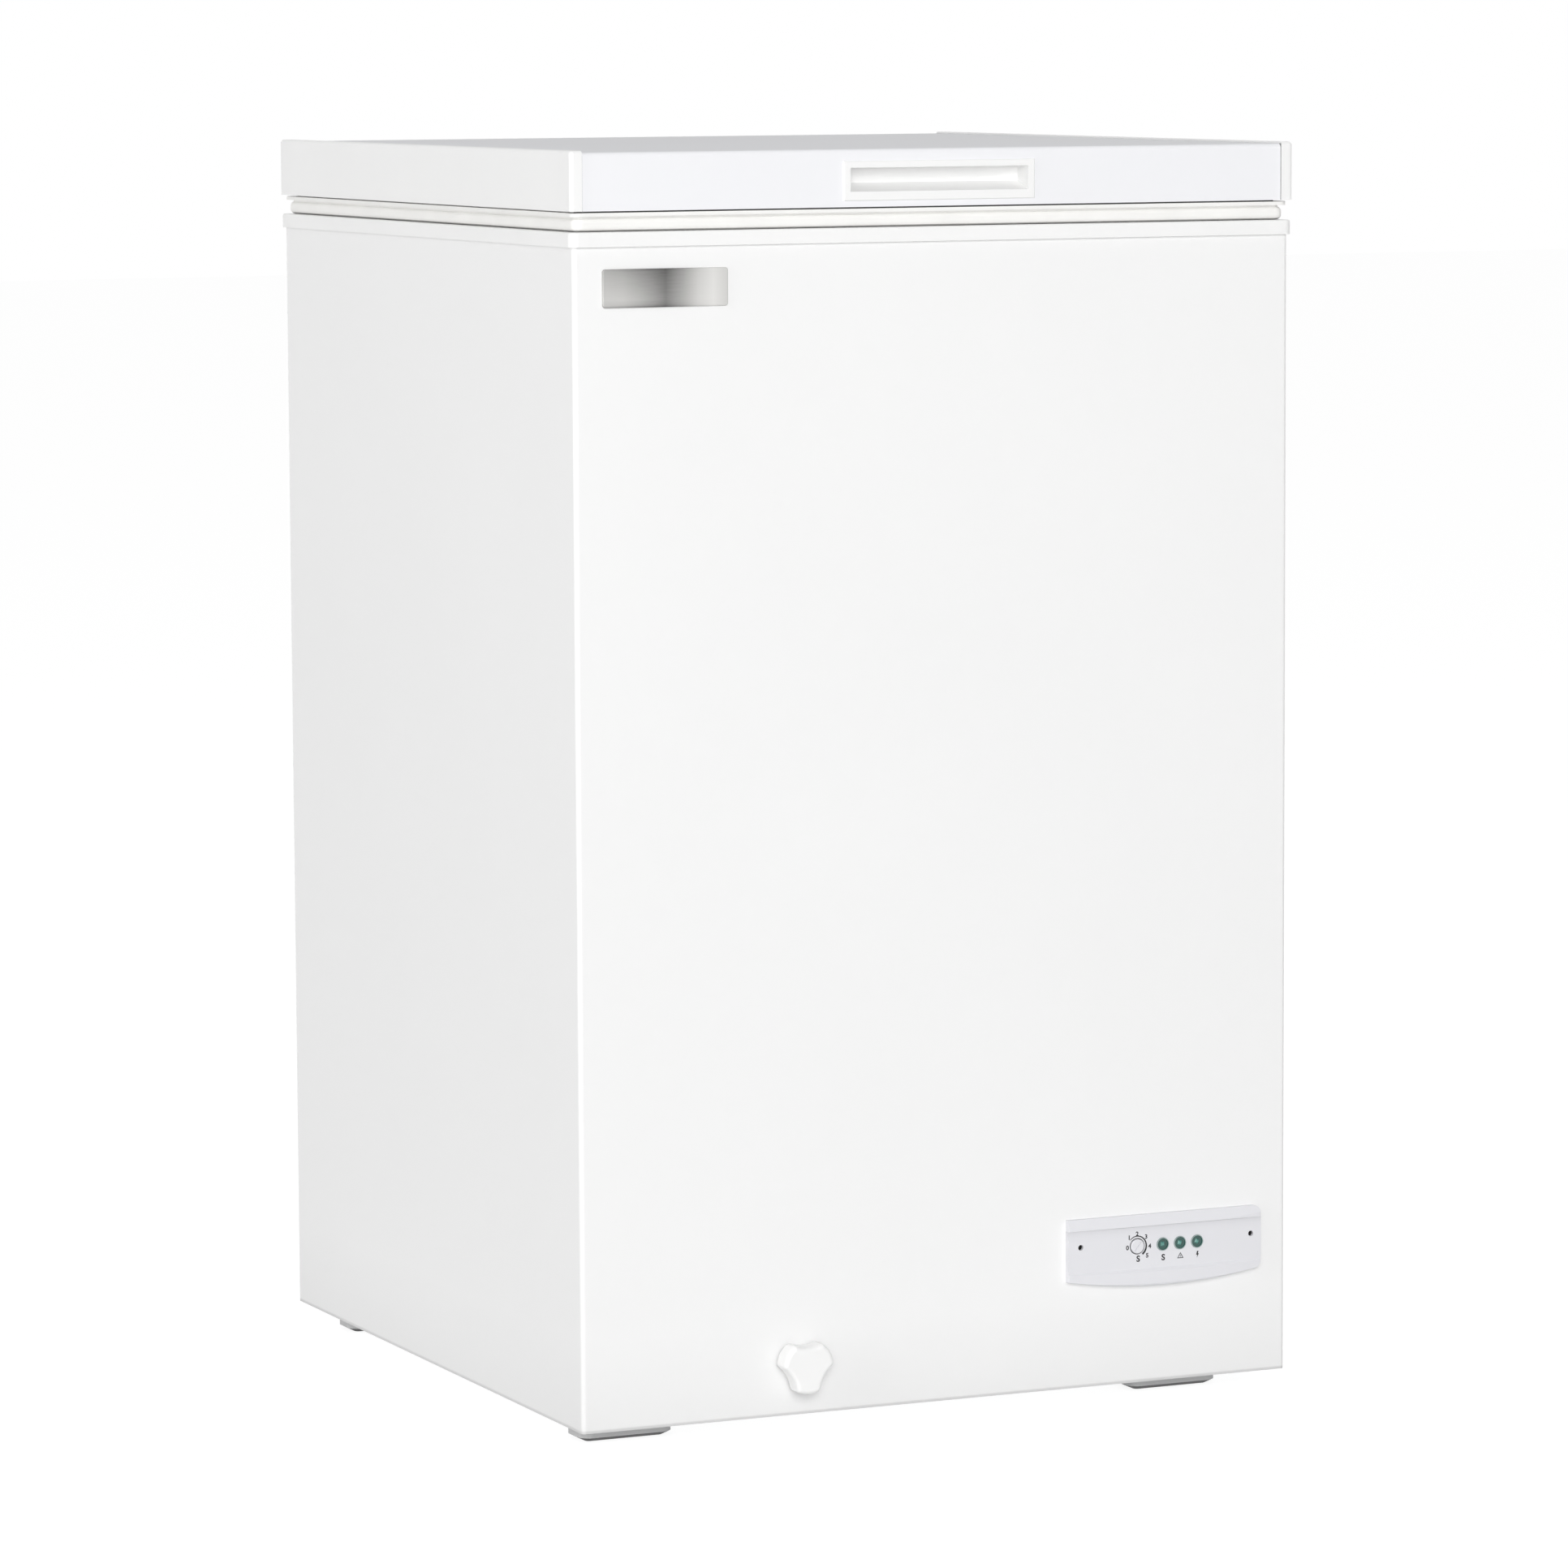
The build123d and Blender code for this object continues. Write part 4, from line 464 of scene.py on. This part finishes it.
def stucco(name, colour):
    """Aluminium sheet with a rolled stucco pattern."""
    finish = Finish(name)
    pebbles = finish.cells(scale=260.0, feature="SMOOTH_F1")
    clouds = finish.noise(scale=9.0, detail=3.0)
    return finish.surface(
        {
            "Base Color": finish.tone(clouds, colour, 0.94, 1.03),
            "Metallic": 0.75,
            "Roughness": between(clouds, 0.3, 0.42),
            "Normal": finish.bump(pebbles, 0.5 * MM),
        }
    )


def drawn(name, colour, roughness=0.28, tarnish=0.75):
    """Tube, wire or turned metal: bright, with patches of tarnish."""
    finish = Finish(name)
    patches = finish.noise(scale=45.0, detail=5.0)
    lines = finish.noise(scale=420.0, detail=3.0)
    return finish.surface(
        {
            "Base Color": finish.tone(patches, colour, tarnish, 1.08),
            "Metallic": 1.0,
            "Roughness": between(patches, roughness - 0.1, roughness + 0.15),
            "Normal": finish.bump(lines, 0.02 * MM),
        }
    )


def brushed_plate(name, colour, low, high):
    """Brushed silver plate, with painted dark and light sheen bands along its length that stand in
    for its reflections.
    """
    finish = Finish(name)
    local = finish.mapped(Location=-low)
    across = finish.along(0, local) * (1.0 / (high.x - low.x))
    upwards = finish.along(2, local) * (1.0 / (high.z - low.z))
    inside = finish.ramp(across, [(place, shade(colour, level)) for place, level, _ in PLATE_BANDS])
    edges = finish.ramp(across, [(place, shade(colour, level)) for place, _, level in PLATE_BANDS])
    painted_sheen = finish.mix(finish.levels(upwards, PLATE_EDGES), inside, edges)
    lines = finish.noise(scale=200.0, detail=4.0, stretch=(0.5, 12.0, 12.0))
    return finish.surface(
        {
            "Base Color": finish.mix(0.1 * lines, painted_sheen, shade(colour, 1.5)),
            "Metallic": 0.3,
            "Roughness": between(lines, 0.4, 0.54),
            "Normal": finish.bump(lines, 0.02 * MM),
        }
    )


def lens_finish(name, colour, roughness):
    """Tinted clear plastic, seen as a dark gloss."""
    finish = Finish(name)
    depth = finish.noise(scale=260.0)
    return finish.surface(
        {
            "Base Color": finish.tone(depth, colour, 0.7, 1.35),
            "Roughness": roughness,
            "Coat Weight": 0.6,
            "Coat Roughness": 0.05,
        }
    )


def ink_finish(name, colour):
    """Pad-printed ink, slightly uneven."""
    finish = Finish(name)
    film = finish.noise(scale=1800.0)
    return finish.surface(
        {
            "Base Color": finish.tone(film, colour, 0.8, 1.6),
            "Roughness": between(film, 0.5, 0.7),
        }
    )


def dress(finishes):
    """Give each CAD node its own finish, or that of its material slot."""
    for part in frame["record"]["subparts"]:
        finish = finishes.get(part["node"]) or finishes.get(part["material_slot"])
        if finish:
            materials = frame["nodes"][part["node"]].data.materials
            materials.clear()
            materials.append(finish)


def piece(name, shape, finishes, body):
    """Make a mesh object of a bmesh, finished and riding on a body."""
    mesh = bpy.data.meshes.new(name)
    bmesh.ops.remove_doubles(shape, verts=shape.verts, dist=MERGE)
    bmesh.ops.recalc_face_normals(shape, faces=shape.faces)
    shape.to_mesh(mesh)
    shape.free()
    for finish in finishes:
        mesh.materials.append(finish)
    made = bpy.data.objects.new(name, mesh)
    bpy.context.scene.collection.objects.link(made)
    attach(made, body)
    return made


def on_panel(x, z):
    """Stand a flat shape, drawn in X and Y, on the panel's face, with its front outwards."""
    return Matrix.Translation((x, PANEL_FACE, z)) @ Matrix.Rotation(pi / 2, 4, "X")


def lettering(text, height):
    """Flat characters of a given height, centred on the origin."""
    curve = bpy.data.curves.new("lettering", "FONT")
    curve.body = text
    curve.offset = LETTER_WEIGHT
    holder = bpy.data.objects.new("lettering", curve)
    bpy.context.scene.collection.objects.link(holder)
    bpy.context.view_layer.update()
    outline = holder.evaluated_get(bpy.context.evaluated_depsgraph_get())
    mesh = bpy.data.meshes.new_from_object(outline)
    xs = [v.co.x for v in mesh.vertices]
    ys = [v.co.y for v in mesh.vertices]
    scale = height / (max(ys) - min(ys))
    centre = Vector(((max(xs) + min(xs)) / 2, (max(ys) + min(ys)) / 2, 0.0))
    mesh.transform(Matrix.Scale(scale, 4) @ Matrix.Translation(-centre))
    shape = bmesh.new()
    shape.from_mesh(mesh)
    bpy.data.objects.remove(holder)
    bpy.data.curves.remove(curve)
    bpy.data.meshes.remove(mesh)
    return shape


def band(segments, radius, width):
    """A flat band, inwards from a regular outline."""
    shape = bmesh.new()
    bmesh.ops.create_circle(shape, cap_ends=True, segments=segments, radius=radius)
    bmesh.ops.inset_region(
        shape, faces=shape.faces[:], thickness=width, use_boundary=True, use_even_offset=True
    )
    inner = min(shape.faces, key=lambda f: f.calc_center_median().length)
    bmesh.ops.delete(shape, geom=[inner], context="FACES_ONLY")
    return shape


def add_print(sheet, symbol, x, z, thickness):
    """Place a flat symbol on the panel, as thick as a film of ink, and add it to the print."""
    bmesh.ops.transform(symbol, matrix=on_panel(x, z), verts=symbol.verts)
    grown = bmesh.ops.extrude_face_region(symbol, geom=symbol.faces[:])
    moved = [g for g in grown["geom"] if isinstance(g, bmesh.types.BMVert)]
    bmesh.ops.translate(symbol, verts=moved, vec=(0.0, -thickness, 0.0))
    film = bpy.data.meshes.new("film")
    symbol.to_mesh(film)
    symbol.free()
    sheet.from_mesh(film)
    bpy.data.meshes.remove(film)


class FREEZER_OT_paint(Operator):
    """Paint the cabinet, lid, hinges, basket and compressor"""

    bl_idname = "freezer.paint"
    bl_label = "Painted steel"

    def execute(self, context):
        colours = context.scene.freezer_colours
        dress(
            {
                "cabinet_paint": painted("cabinet paint", colours.cabinet, shading=hem_shade),
                "lid_paint": painted(
                    "lid paint", colours.lid, 0.6, peel=0.02 * MM, specular=0.15, shading=seam_shade
                ),
                "hinge_steel": painted("hinge powder coat", colours.cabinet, 0.5, peel=0.06 * MM),
                "basket_coating": painted("basket coating", colours.trim, 0.3, peel=0.02 * MM),
                "compressor_paint": painted("compressor paint", BLACK, 0.42, peel=0.08 * MM),
            }
        )
        return {"FINISHED"}


class FREEZER_OT_plastics(Operator):
    """Finish the moulded plastics"""

    bl_idname = "freezer.plastics"
    bl_label = "Moulded plastics"

    def execute(self, context):
        colours = context.scene.freezer_colours
        trim = colours.trim
        dress(
            {
                "white_plastic": moulded("white plastic", trim, 0.36),
                "panel_plastic": moulded(
                    "panel plastic", colours.panel, 0.46, grain=1800.0, shading=ledge_shade
                ),
                "drain_plastic": moulded(
                    "drain plastic", trim, 0.34, grain=1200.0, depth=0.02 * MM
                ),
                "dial_plastic": moulded("dial plastic", colours.panel, 0.4),
                "grille_plastic": moulded("grille plastic", trim, 0.45),
                "liner_plastic": moulded("lid liner", trim, 0.4, grain=700.0, depth=0.05 * MM),
                # The feet's near-black lowest band is painted shade, where they face the floor.
                "foot_plastic": plastic_over_painted_shade("foot plastic", colours.foot, shade_colour=BLACK, height=3.0 * MM),
                "black_plastic": moulded("black plastic", BLACK, 0.45),
                "harness_sheath": moulded("harness sheath", (0.12, 0.12, 0.125), 0.5),
            }
        )
        return {"FINISHED"}


class FREEZER_OT_metals(Operator):
    """Finish the bare metals and the name plate"""

    bl_idname = "freezer.metals"
    bl_label = "Bare metals"

    def execute(self, context):
        plate = context.scene.freezer_colours.badge
        dress(
            {
                "galvanised_steel": spangled("galvanised sheet", (0.5, 0.51, 0.52)),
                "tub_aluminium": stucco("tub sheet", (0.8, 0.81, 0.82)),
                "copper_tube": drawn("copper", (0.72, 0.36, 0.2), 0.3, tarnish=0.6),
                "aluminium_tube": drawn("aluminium tube", (0.7, 0.71, 0.72)),
                "steel_tube": drawn("copper-washed tube", (0.4, 0.31, 0.25), 0.34, tarnish=0.7),
                "zinc_screw": drawn("zinc plate", (0.45, 0.46, 0.47), 0.32, tarnish=0.7),
                # The panel's screws sit deep in their holes and are near black, as painted shade for
                # those holes.
                "fascia_screws": drawn("blackened screw", (0.03, 0.03, 0.03), 0.4, tarnish=0.7),
                "spring_steel": drawn("spring steel", (0.32, 0.32, 0.33), 0.25),
                "badge_silver": brushed_plate("name plate", plate, *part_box("badge_plate")),
            }
        )
        return {"FINISHED"}


class FREEZER_OT_soft_parts(Operator):
    """Finish the seal, rubbers and foam"""

    bl_idname = "freezer.soft_parts"
    bl_label = "Seal, rubber and foam"

    def execute(self, context):
        colours = context.scene.freezer_colours
        dress(
            {
                "gasket_rubber": soft("seal", colours.seal, shading=rest_shade),
                "magnet_strip": soft("magnet strip", (0.03, 0.024, 0.02), 0.6),
                "black_rubber": soft("black rubber", (0.018, 0.018, 0.018), 0.6),
                "foam": foamed("foam", (0.86, 0.76, 0.46)),
            }
        )
        return {"FINISHED"}


class FREEZER_OT_panel_print(Operator):
    """Print the dial's scale and the lamps' symbols on the panel"""

    bl_idname = "freezer.panel_print"
    bl_label = "Panel print"

    # Each digit, with its angle in degrees and its distance from the dial's middle
    digits = (
        ("0", 185.0, 7.4 * MM),
        ("1", 134.0, 8.7 * MM),
        ("2", 90.0, 8.5 * MM),
        ("3", 42.0, 9.1 * MM),
        ("4", -3.0, 9.5 * MM),
        ("5", -42.0, 10.2 * MM),
    )
    letter_across = 0.8 * MM
    letter_drop = 8.6 * MM
    arc_from = 140.0
    arc_to = -55.0
    arc_steps = 48
    arc_thin = 0.45 * MM
    arc_thick = 1.4 * MM
    ring_segments = 64
    ring_width = 0.4 * MM

    # Symbols under the lamps: how far right of them, then the warning sign and the bolt's corners
    symbol_across = 0.4 * MM
    mark_height = 1.7 * MM
    mark_drop = 0.2 * MM
    triangle = 2.75 * MM
    triangle_line = 0.5 * MM
    triangle_drop = 0.3 * MM
    bolt_corners = (
        (-0.35 * MM, 2.3 * MM),
        (0.8 * MM, 2.3 * MM),
        (0.3 * MM, 0.55 * MM),
        (1.05 * MM, 0.55 * MM),
        (-0.5 * MM, -2.3 * MM),
        (-0.1 * MM, -0.4 * MM),
        (-1.0 * MM, -0.4 * MM),
    )

    def arc(self, radius):
        """A crescent that thickens clockwise."""
        shape = bmesh.new()
        start = radians(self.arc_from)
        ends = [
            shape.verts.new((r * cos(start), r * sin(start), 0.0))
            for r in (radius, radius + self.arc_thin)
        ]
        edge = shape.edges.new(ends)
        bmesh.ops.spin(
            shape,
            geom=[edge, *ends],
            axis=(0.0, 0.0, 1.0),
            cent=(0.0, 0.0, 0.0),
            angle=radians(self.arc_to - self.arc_from),
            steps=self.arc_steps,
            use_merge=False,
        )
        for vert in shape.verts:
            turn = start - Vector((vert.co.x, vert.co.y)).angle_signed(Vector((1.0, 0.0)))
            share = turn / radians(self.arc_from - self.arc_to)
            width = self.arc_thin + (self.arc_thick - self.arc_thin) * share
            side = 0.5 if vert.co.length > radius + self.arc_thin / 2 else -0.5
            vert.co = vert.co.normalized() * (radius + side * width)
        return shape

    def bolt(self):
        """A bolt, for the power lamp."""
        shape = bmesh.new()
        shape.faces.new([shape.verts.new((x, z, 0.0)) for x, z in self.bolt_corners])
        return shape

    def execute(self, context):
        sizes = context.scene.freezer_sizes
        colours = context.scene.freezer_colours
        symbols = []
        for text, angle, radius in self.digits:
            x = DIAL.x + radius * cos(radians(angle))
            z = DIAL.z + radius * sin(radians(angle))
            symbols.append((lettering(text, sizes.digit), x, z))
        letter_x = DIAL.x + self.letter_across
        super_x, alarm_x, power_x = (middle(lamp).x + self.symbol_across for lamp in LAMPS)
        low = DIAL.z - sizes.symbols
        ring = band(self.ring_segments, sizes.ring + self.ring_width, self.ring_width)
        triangle = band(3, self.triangle, self.triangle_line)
        symbols += [
            (lettering("S", sizes.letter), letter_x, DIAL.z - self.letter_drop),
            (lettering("S", sizes.letter), super_x, low),
            (lettering("!", self.mark_height), alarm_x, low - self.mark_drop),
            (self.arc(sizes.arc), DIAL.x, DIAL.z),
            (ring, DIAL.x, DIAL.z),
            (triangle, alarm_x, low - self.triangle_drop),
            (self.bolt(), power_x, low),
        ]
        sheet = bmesh.new()
        for symbol, x, z in symbols:
            add_print(sheet, symbol, x, z, sizes.ink)
        ink = ink_finish("panel ink", colours.ink)
        piece("panel_print", sheet, [ink], "cabinet")
        return {"FINISHED"}


class FREEZER_OT_lamps(Operator):
    """Model the three lamp lenses, each with a rim, a dished window and a cut boss"""

    bl_idname = "freezer.lamps"
    bl_label = "Lamp lenses"

    segments = 48
    depth = 20.0 * MM
    rim_proud = 0.5 * MM
    rim_colour = (0.3, 0.38, 0.37)
    dish = 0.9 * MM
    wall_inset = 0.6
    wall_share = 0.7
    floor_inset = 0.3
    boss = 2.1 * MM
    boss_top = 1.1 * MM
    boss_sides = 4
    boss_turns = (45.0, 30.0, 20.0)

    def execute(self, context):
        sizes = context.scene.freezer_sizes
        colours = context.scene.freezer_colours
        finishes = [
            moulded("lens rim", self.rim_colour, 0.35),
            lens_finish("lens deep", colours.lens, 0.12),
            # The facets are the same clear lens as the deep part, lighter by painted light
            lens_finish("lens facets", colours.facet, 0.2),
        ]
        rim, deep, facet = range(len(finishes))
        for lamp, boss_turn in zip(LAMPS, self.boss_turns):
            low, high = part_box(lamp)
            radius = (high.x - low.x) / 2
            shape = bmesh.new()
            bmesh.ops.create_circle(shape, cap_ends=True, segments=self.segments, radius=radius)
            front = shape.faces[:]
            for inset, lift, layer in (
                (0.0, self.depth + self.rim_proud, rim),
                (sizes.bezel, 0.0, rim),
                (sizes.bezel * self.wall_inset, -self.dish * self.wall_share, deep),
                (radius * self.floor_inset, -self.dish * (1.0 - self.wall_share), deep),
            ):
                if inset:
                    bmesh.ops.inset_region(shape, faces=front, thickness=inset)
                else:
                    grown = bmesh.ops.extrude_face_region(shape, geom=front)
                    bmesh.ops.delete(shape, geom=front, context="FACES_ONLY")
                    front = [g for g in grown["geom"] if isinstance(g, bmesh.types.BMFace)]
                verts = list({v for f in front for v in f.verts})
                bmesh.ops.translate(shape, verts=verts, vec=(0.0, 0.0, lift))
                for face in {f for v in verts for f in v.link_faces}:
                    face.material_index = layer
            boss_middle = Matrix.Translation((0.0, 0.0, verts[0].co.z + self.dish / 2))
            boss = bmesh.ops.create_cone(
                shape,
                cap_ends=True,
                segments=self.boss_sides,
                radius1=self.boss,
                radius2=self.boss_top,
                depth=self.dish,
                matrix=boss_middle @ Matrix.Rotation(radians(boss_turn), 4, "Z"),
            )
            for face in {f for v in boss["verts"] for f in v.link_faces}:
                face.material_index = facet
            sunk = Matrix.Translation((0.0, 0.0, -self.depth))
            place = on_panel(middle(lamp).x, middle(lamp).z) @ sunk
            bmesh.ops.transform(shape, matrix=place, verts=shape.verts)
            name = lamp.replace("indicator_lamp", "lamp_lens")
            made = piece(name, shape, finishes, "cabinet")
            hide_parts(lamp)
        return {"FINISHED"}


class FREEZER_OT_studio(Operator):
    """Set up the floor, the light and the camera"""

    bl_idname = "freezer.studio"
    bl_label = "Studio"

    floor_size = 40.0
    floor_white = 1.4
    shadow = 0.35
    paper_dark = 0.7
    paper_light = 0.73
    view_reach = 100.0

    # Each lamp, with its place, the height that it points at on the middle line, and its size
    lamps = (
        ("key", (-2.3, -7.4, 2.6), 0.45, 5.0),
        ("fill", (-4.0, -0.4, 1.2), 0.45, 2.6),
        ("top", (1.2, 0.6, 3.6), 0.85, 2.0),
    )

    def floor(self, scene):
        """White paper that keeps the freezer's shadow."""
        shape = bmesh.new()
        bmesh.ops.create_grid(shape, x_segments=1, y_segments=1, size=self.floor_size / 2)
        mesh = bpy.data.meshes.new("floor")
        shape.to_mesh(mesh)
        shape.free()
        floor = bpy.data.objects.new("floor", mesh)
        scene.collection.objects.link(floor)
        paper = Finish("floor paper")
        fibres = paper.noise(scale=300.0, detail=3.0)
        tone = paper.mix(fibres, grey(self.paper_dark), grey(self.paper_light))
        dull = paper.node("ShaderNodeBsdfDiffuse", 0, {}, {"Color": tone})
        glow = paper.node("ShaderNodeEmission", 0, {}, {"Strength": self.floor_white})
        seen = paper.seen() * (1.0 - self.shadow)
        mesh.materials.append(paper.output(paper.mix_shader(seen, dull, glow)))

    def sky(self, scene, ambient):
        """A white world that lights the freezer less than it shows."""
        scene.world = bpy.data.worlds.new("studio")
        scene.world.use_nodes = True
        sky = Nodes(scene.world.node_tree)
        dim, white = (
            sky.node("ShaderNodeBackground", 0, {}, {"Color": WHITE, "Strength": strength})
            for strength in (ambient, 1.0)
        )
        both = sky.mix_shader(sky.seen(), dim, white)
        sky.node("ShaderNodeOutputWorld", 0, {}, {"Surface": both})

    def lamp(self, scene, name, place, aim, size, power):
        """A square lamp that points at the freezer's middle line."""
        light = bpy.data.lights.new(name, "AREA")
        light.size = size
        light.energy = power
        holder = bpy.data.objects.new(name, light)
        scene.collection.objects.link(holder)
        holder.location = place
        ray = Vector((0.0, 0.0, aim)) - Vector(place)
        holder.rotation_euler = ray.to_track_quat("-Z", "Y").to_euler()

    def camera(self, scene, studio):
        """The camera, turned about the freezer and aimed at its middle."""
        camera = bpy.data.objects.new("camera", bpy.data.cameras.new("camera"))
        scene.collection.objects.link(camera)
        camera.data.lens = studio.lens
        camera.data.clip_end = self.view_reach
        level = cos(studio.pitch)
        back = Vector((sin(studio.yaw) * level, -cos(studio.yaw) * level, sin(studio.pitch)))
        right = Vector((cos(studio.yaw), sin(studio.yaw), 0.0))
        axes = Matrix((right, back.cross(right), back)).transposed().to_4x4()
        place = right * studio.across + Vector((0.0, 0.0, studio.aim)) + back * studio.distance
        tilt = Matrix.Rotation(studio.roll, 4, "Z")
        camera.matrix_world = Matrix.Translation(place) @ axes @ tilt
        scene.camera = camera

    def execute(self, context):
        scene = context.scene
        studio = scene.freezer_studio
        self.floor(scene)
        self.sky(scene, studio.ambient)
        for name, place, aim, size in self.lamps:
            self.lamp(scene, f"{name} lamp", place, aim, size, getattr(studio, name))
        self.camera(scene, studio)
        scene.view_settings.view_transform = "Standard"
        return {"FINISHED"}


class FREEZER_PT_sidebar(Panel):
    """Lists the freezer's finishes and pieces"""

    bl_idname = "FREEZER_PT_sidebar"
    bl_label = "Chest freezer"
    bl_space_type = "VIEW_3D"
    bl_region_type = "UI"
    bl_category = "Freezer"

    def draw(self, context):
        scene = context.scene
        for group in (scene.freezer_colours, scene.freezer_sizes, scene.freezer_studio):
            box = self.layout.box()
            for name in group.__annotations__:
                box.prop(group, name)
        for operator in OPERATORS:
            self.layout.operator(operator.bl_idname)


OPERATORS = (
    FREEZER_OT_paint,
    FREEZER_OT_plastics,
    FREEZER_OT_metals,
    FREEZER_OT_soft_parts,
    FREEZER_OT_panel_print,
    FREEZER_OT_lamps,
    FREEZER_OT_studio,
)
CLASSES = (FreezerColours, FreezerSizes, FreezerStudio, *OPERATORS, FREEZER_PT_sidebar)


def register():
    for cls in CLASSES:
        bpy.utils.register_class(cls)
    bpy.types.Scene.freezer_colours = PointerProperty(type=FreezerColours)
    bpy.types.Scene.freezer_sizes = PointerProperty(type=FreezerSizes)
    bpy.types.Scene.freezer_studio = PointerProperty(type=FreezerStudio)


def unregister():
    del bpy.types.Scene.freezer_studio
    del bpy.types.Scene.freezer_sizes
    del bpy.types.Scene.freezer_colours
    for cls in reversed(CLASSES):
        bpy.utils.unregister_class(cls)


def main():
    register()
    bpy.ops.freezer.paint()
    bpy.ops.freezer.plastics()
    bpy.ops.freezer.metals()
    bpy.ops.freezer.soft_parts()
    bpy.ops.freezer.panel_print()
    bpy.ops.freezer.lamps()
    bpy.ops.freezer.studio()


if __name__ == "__main__":
    main()
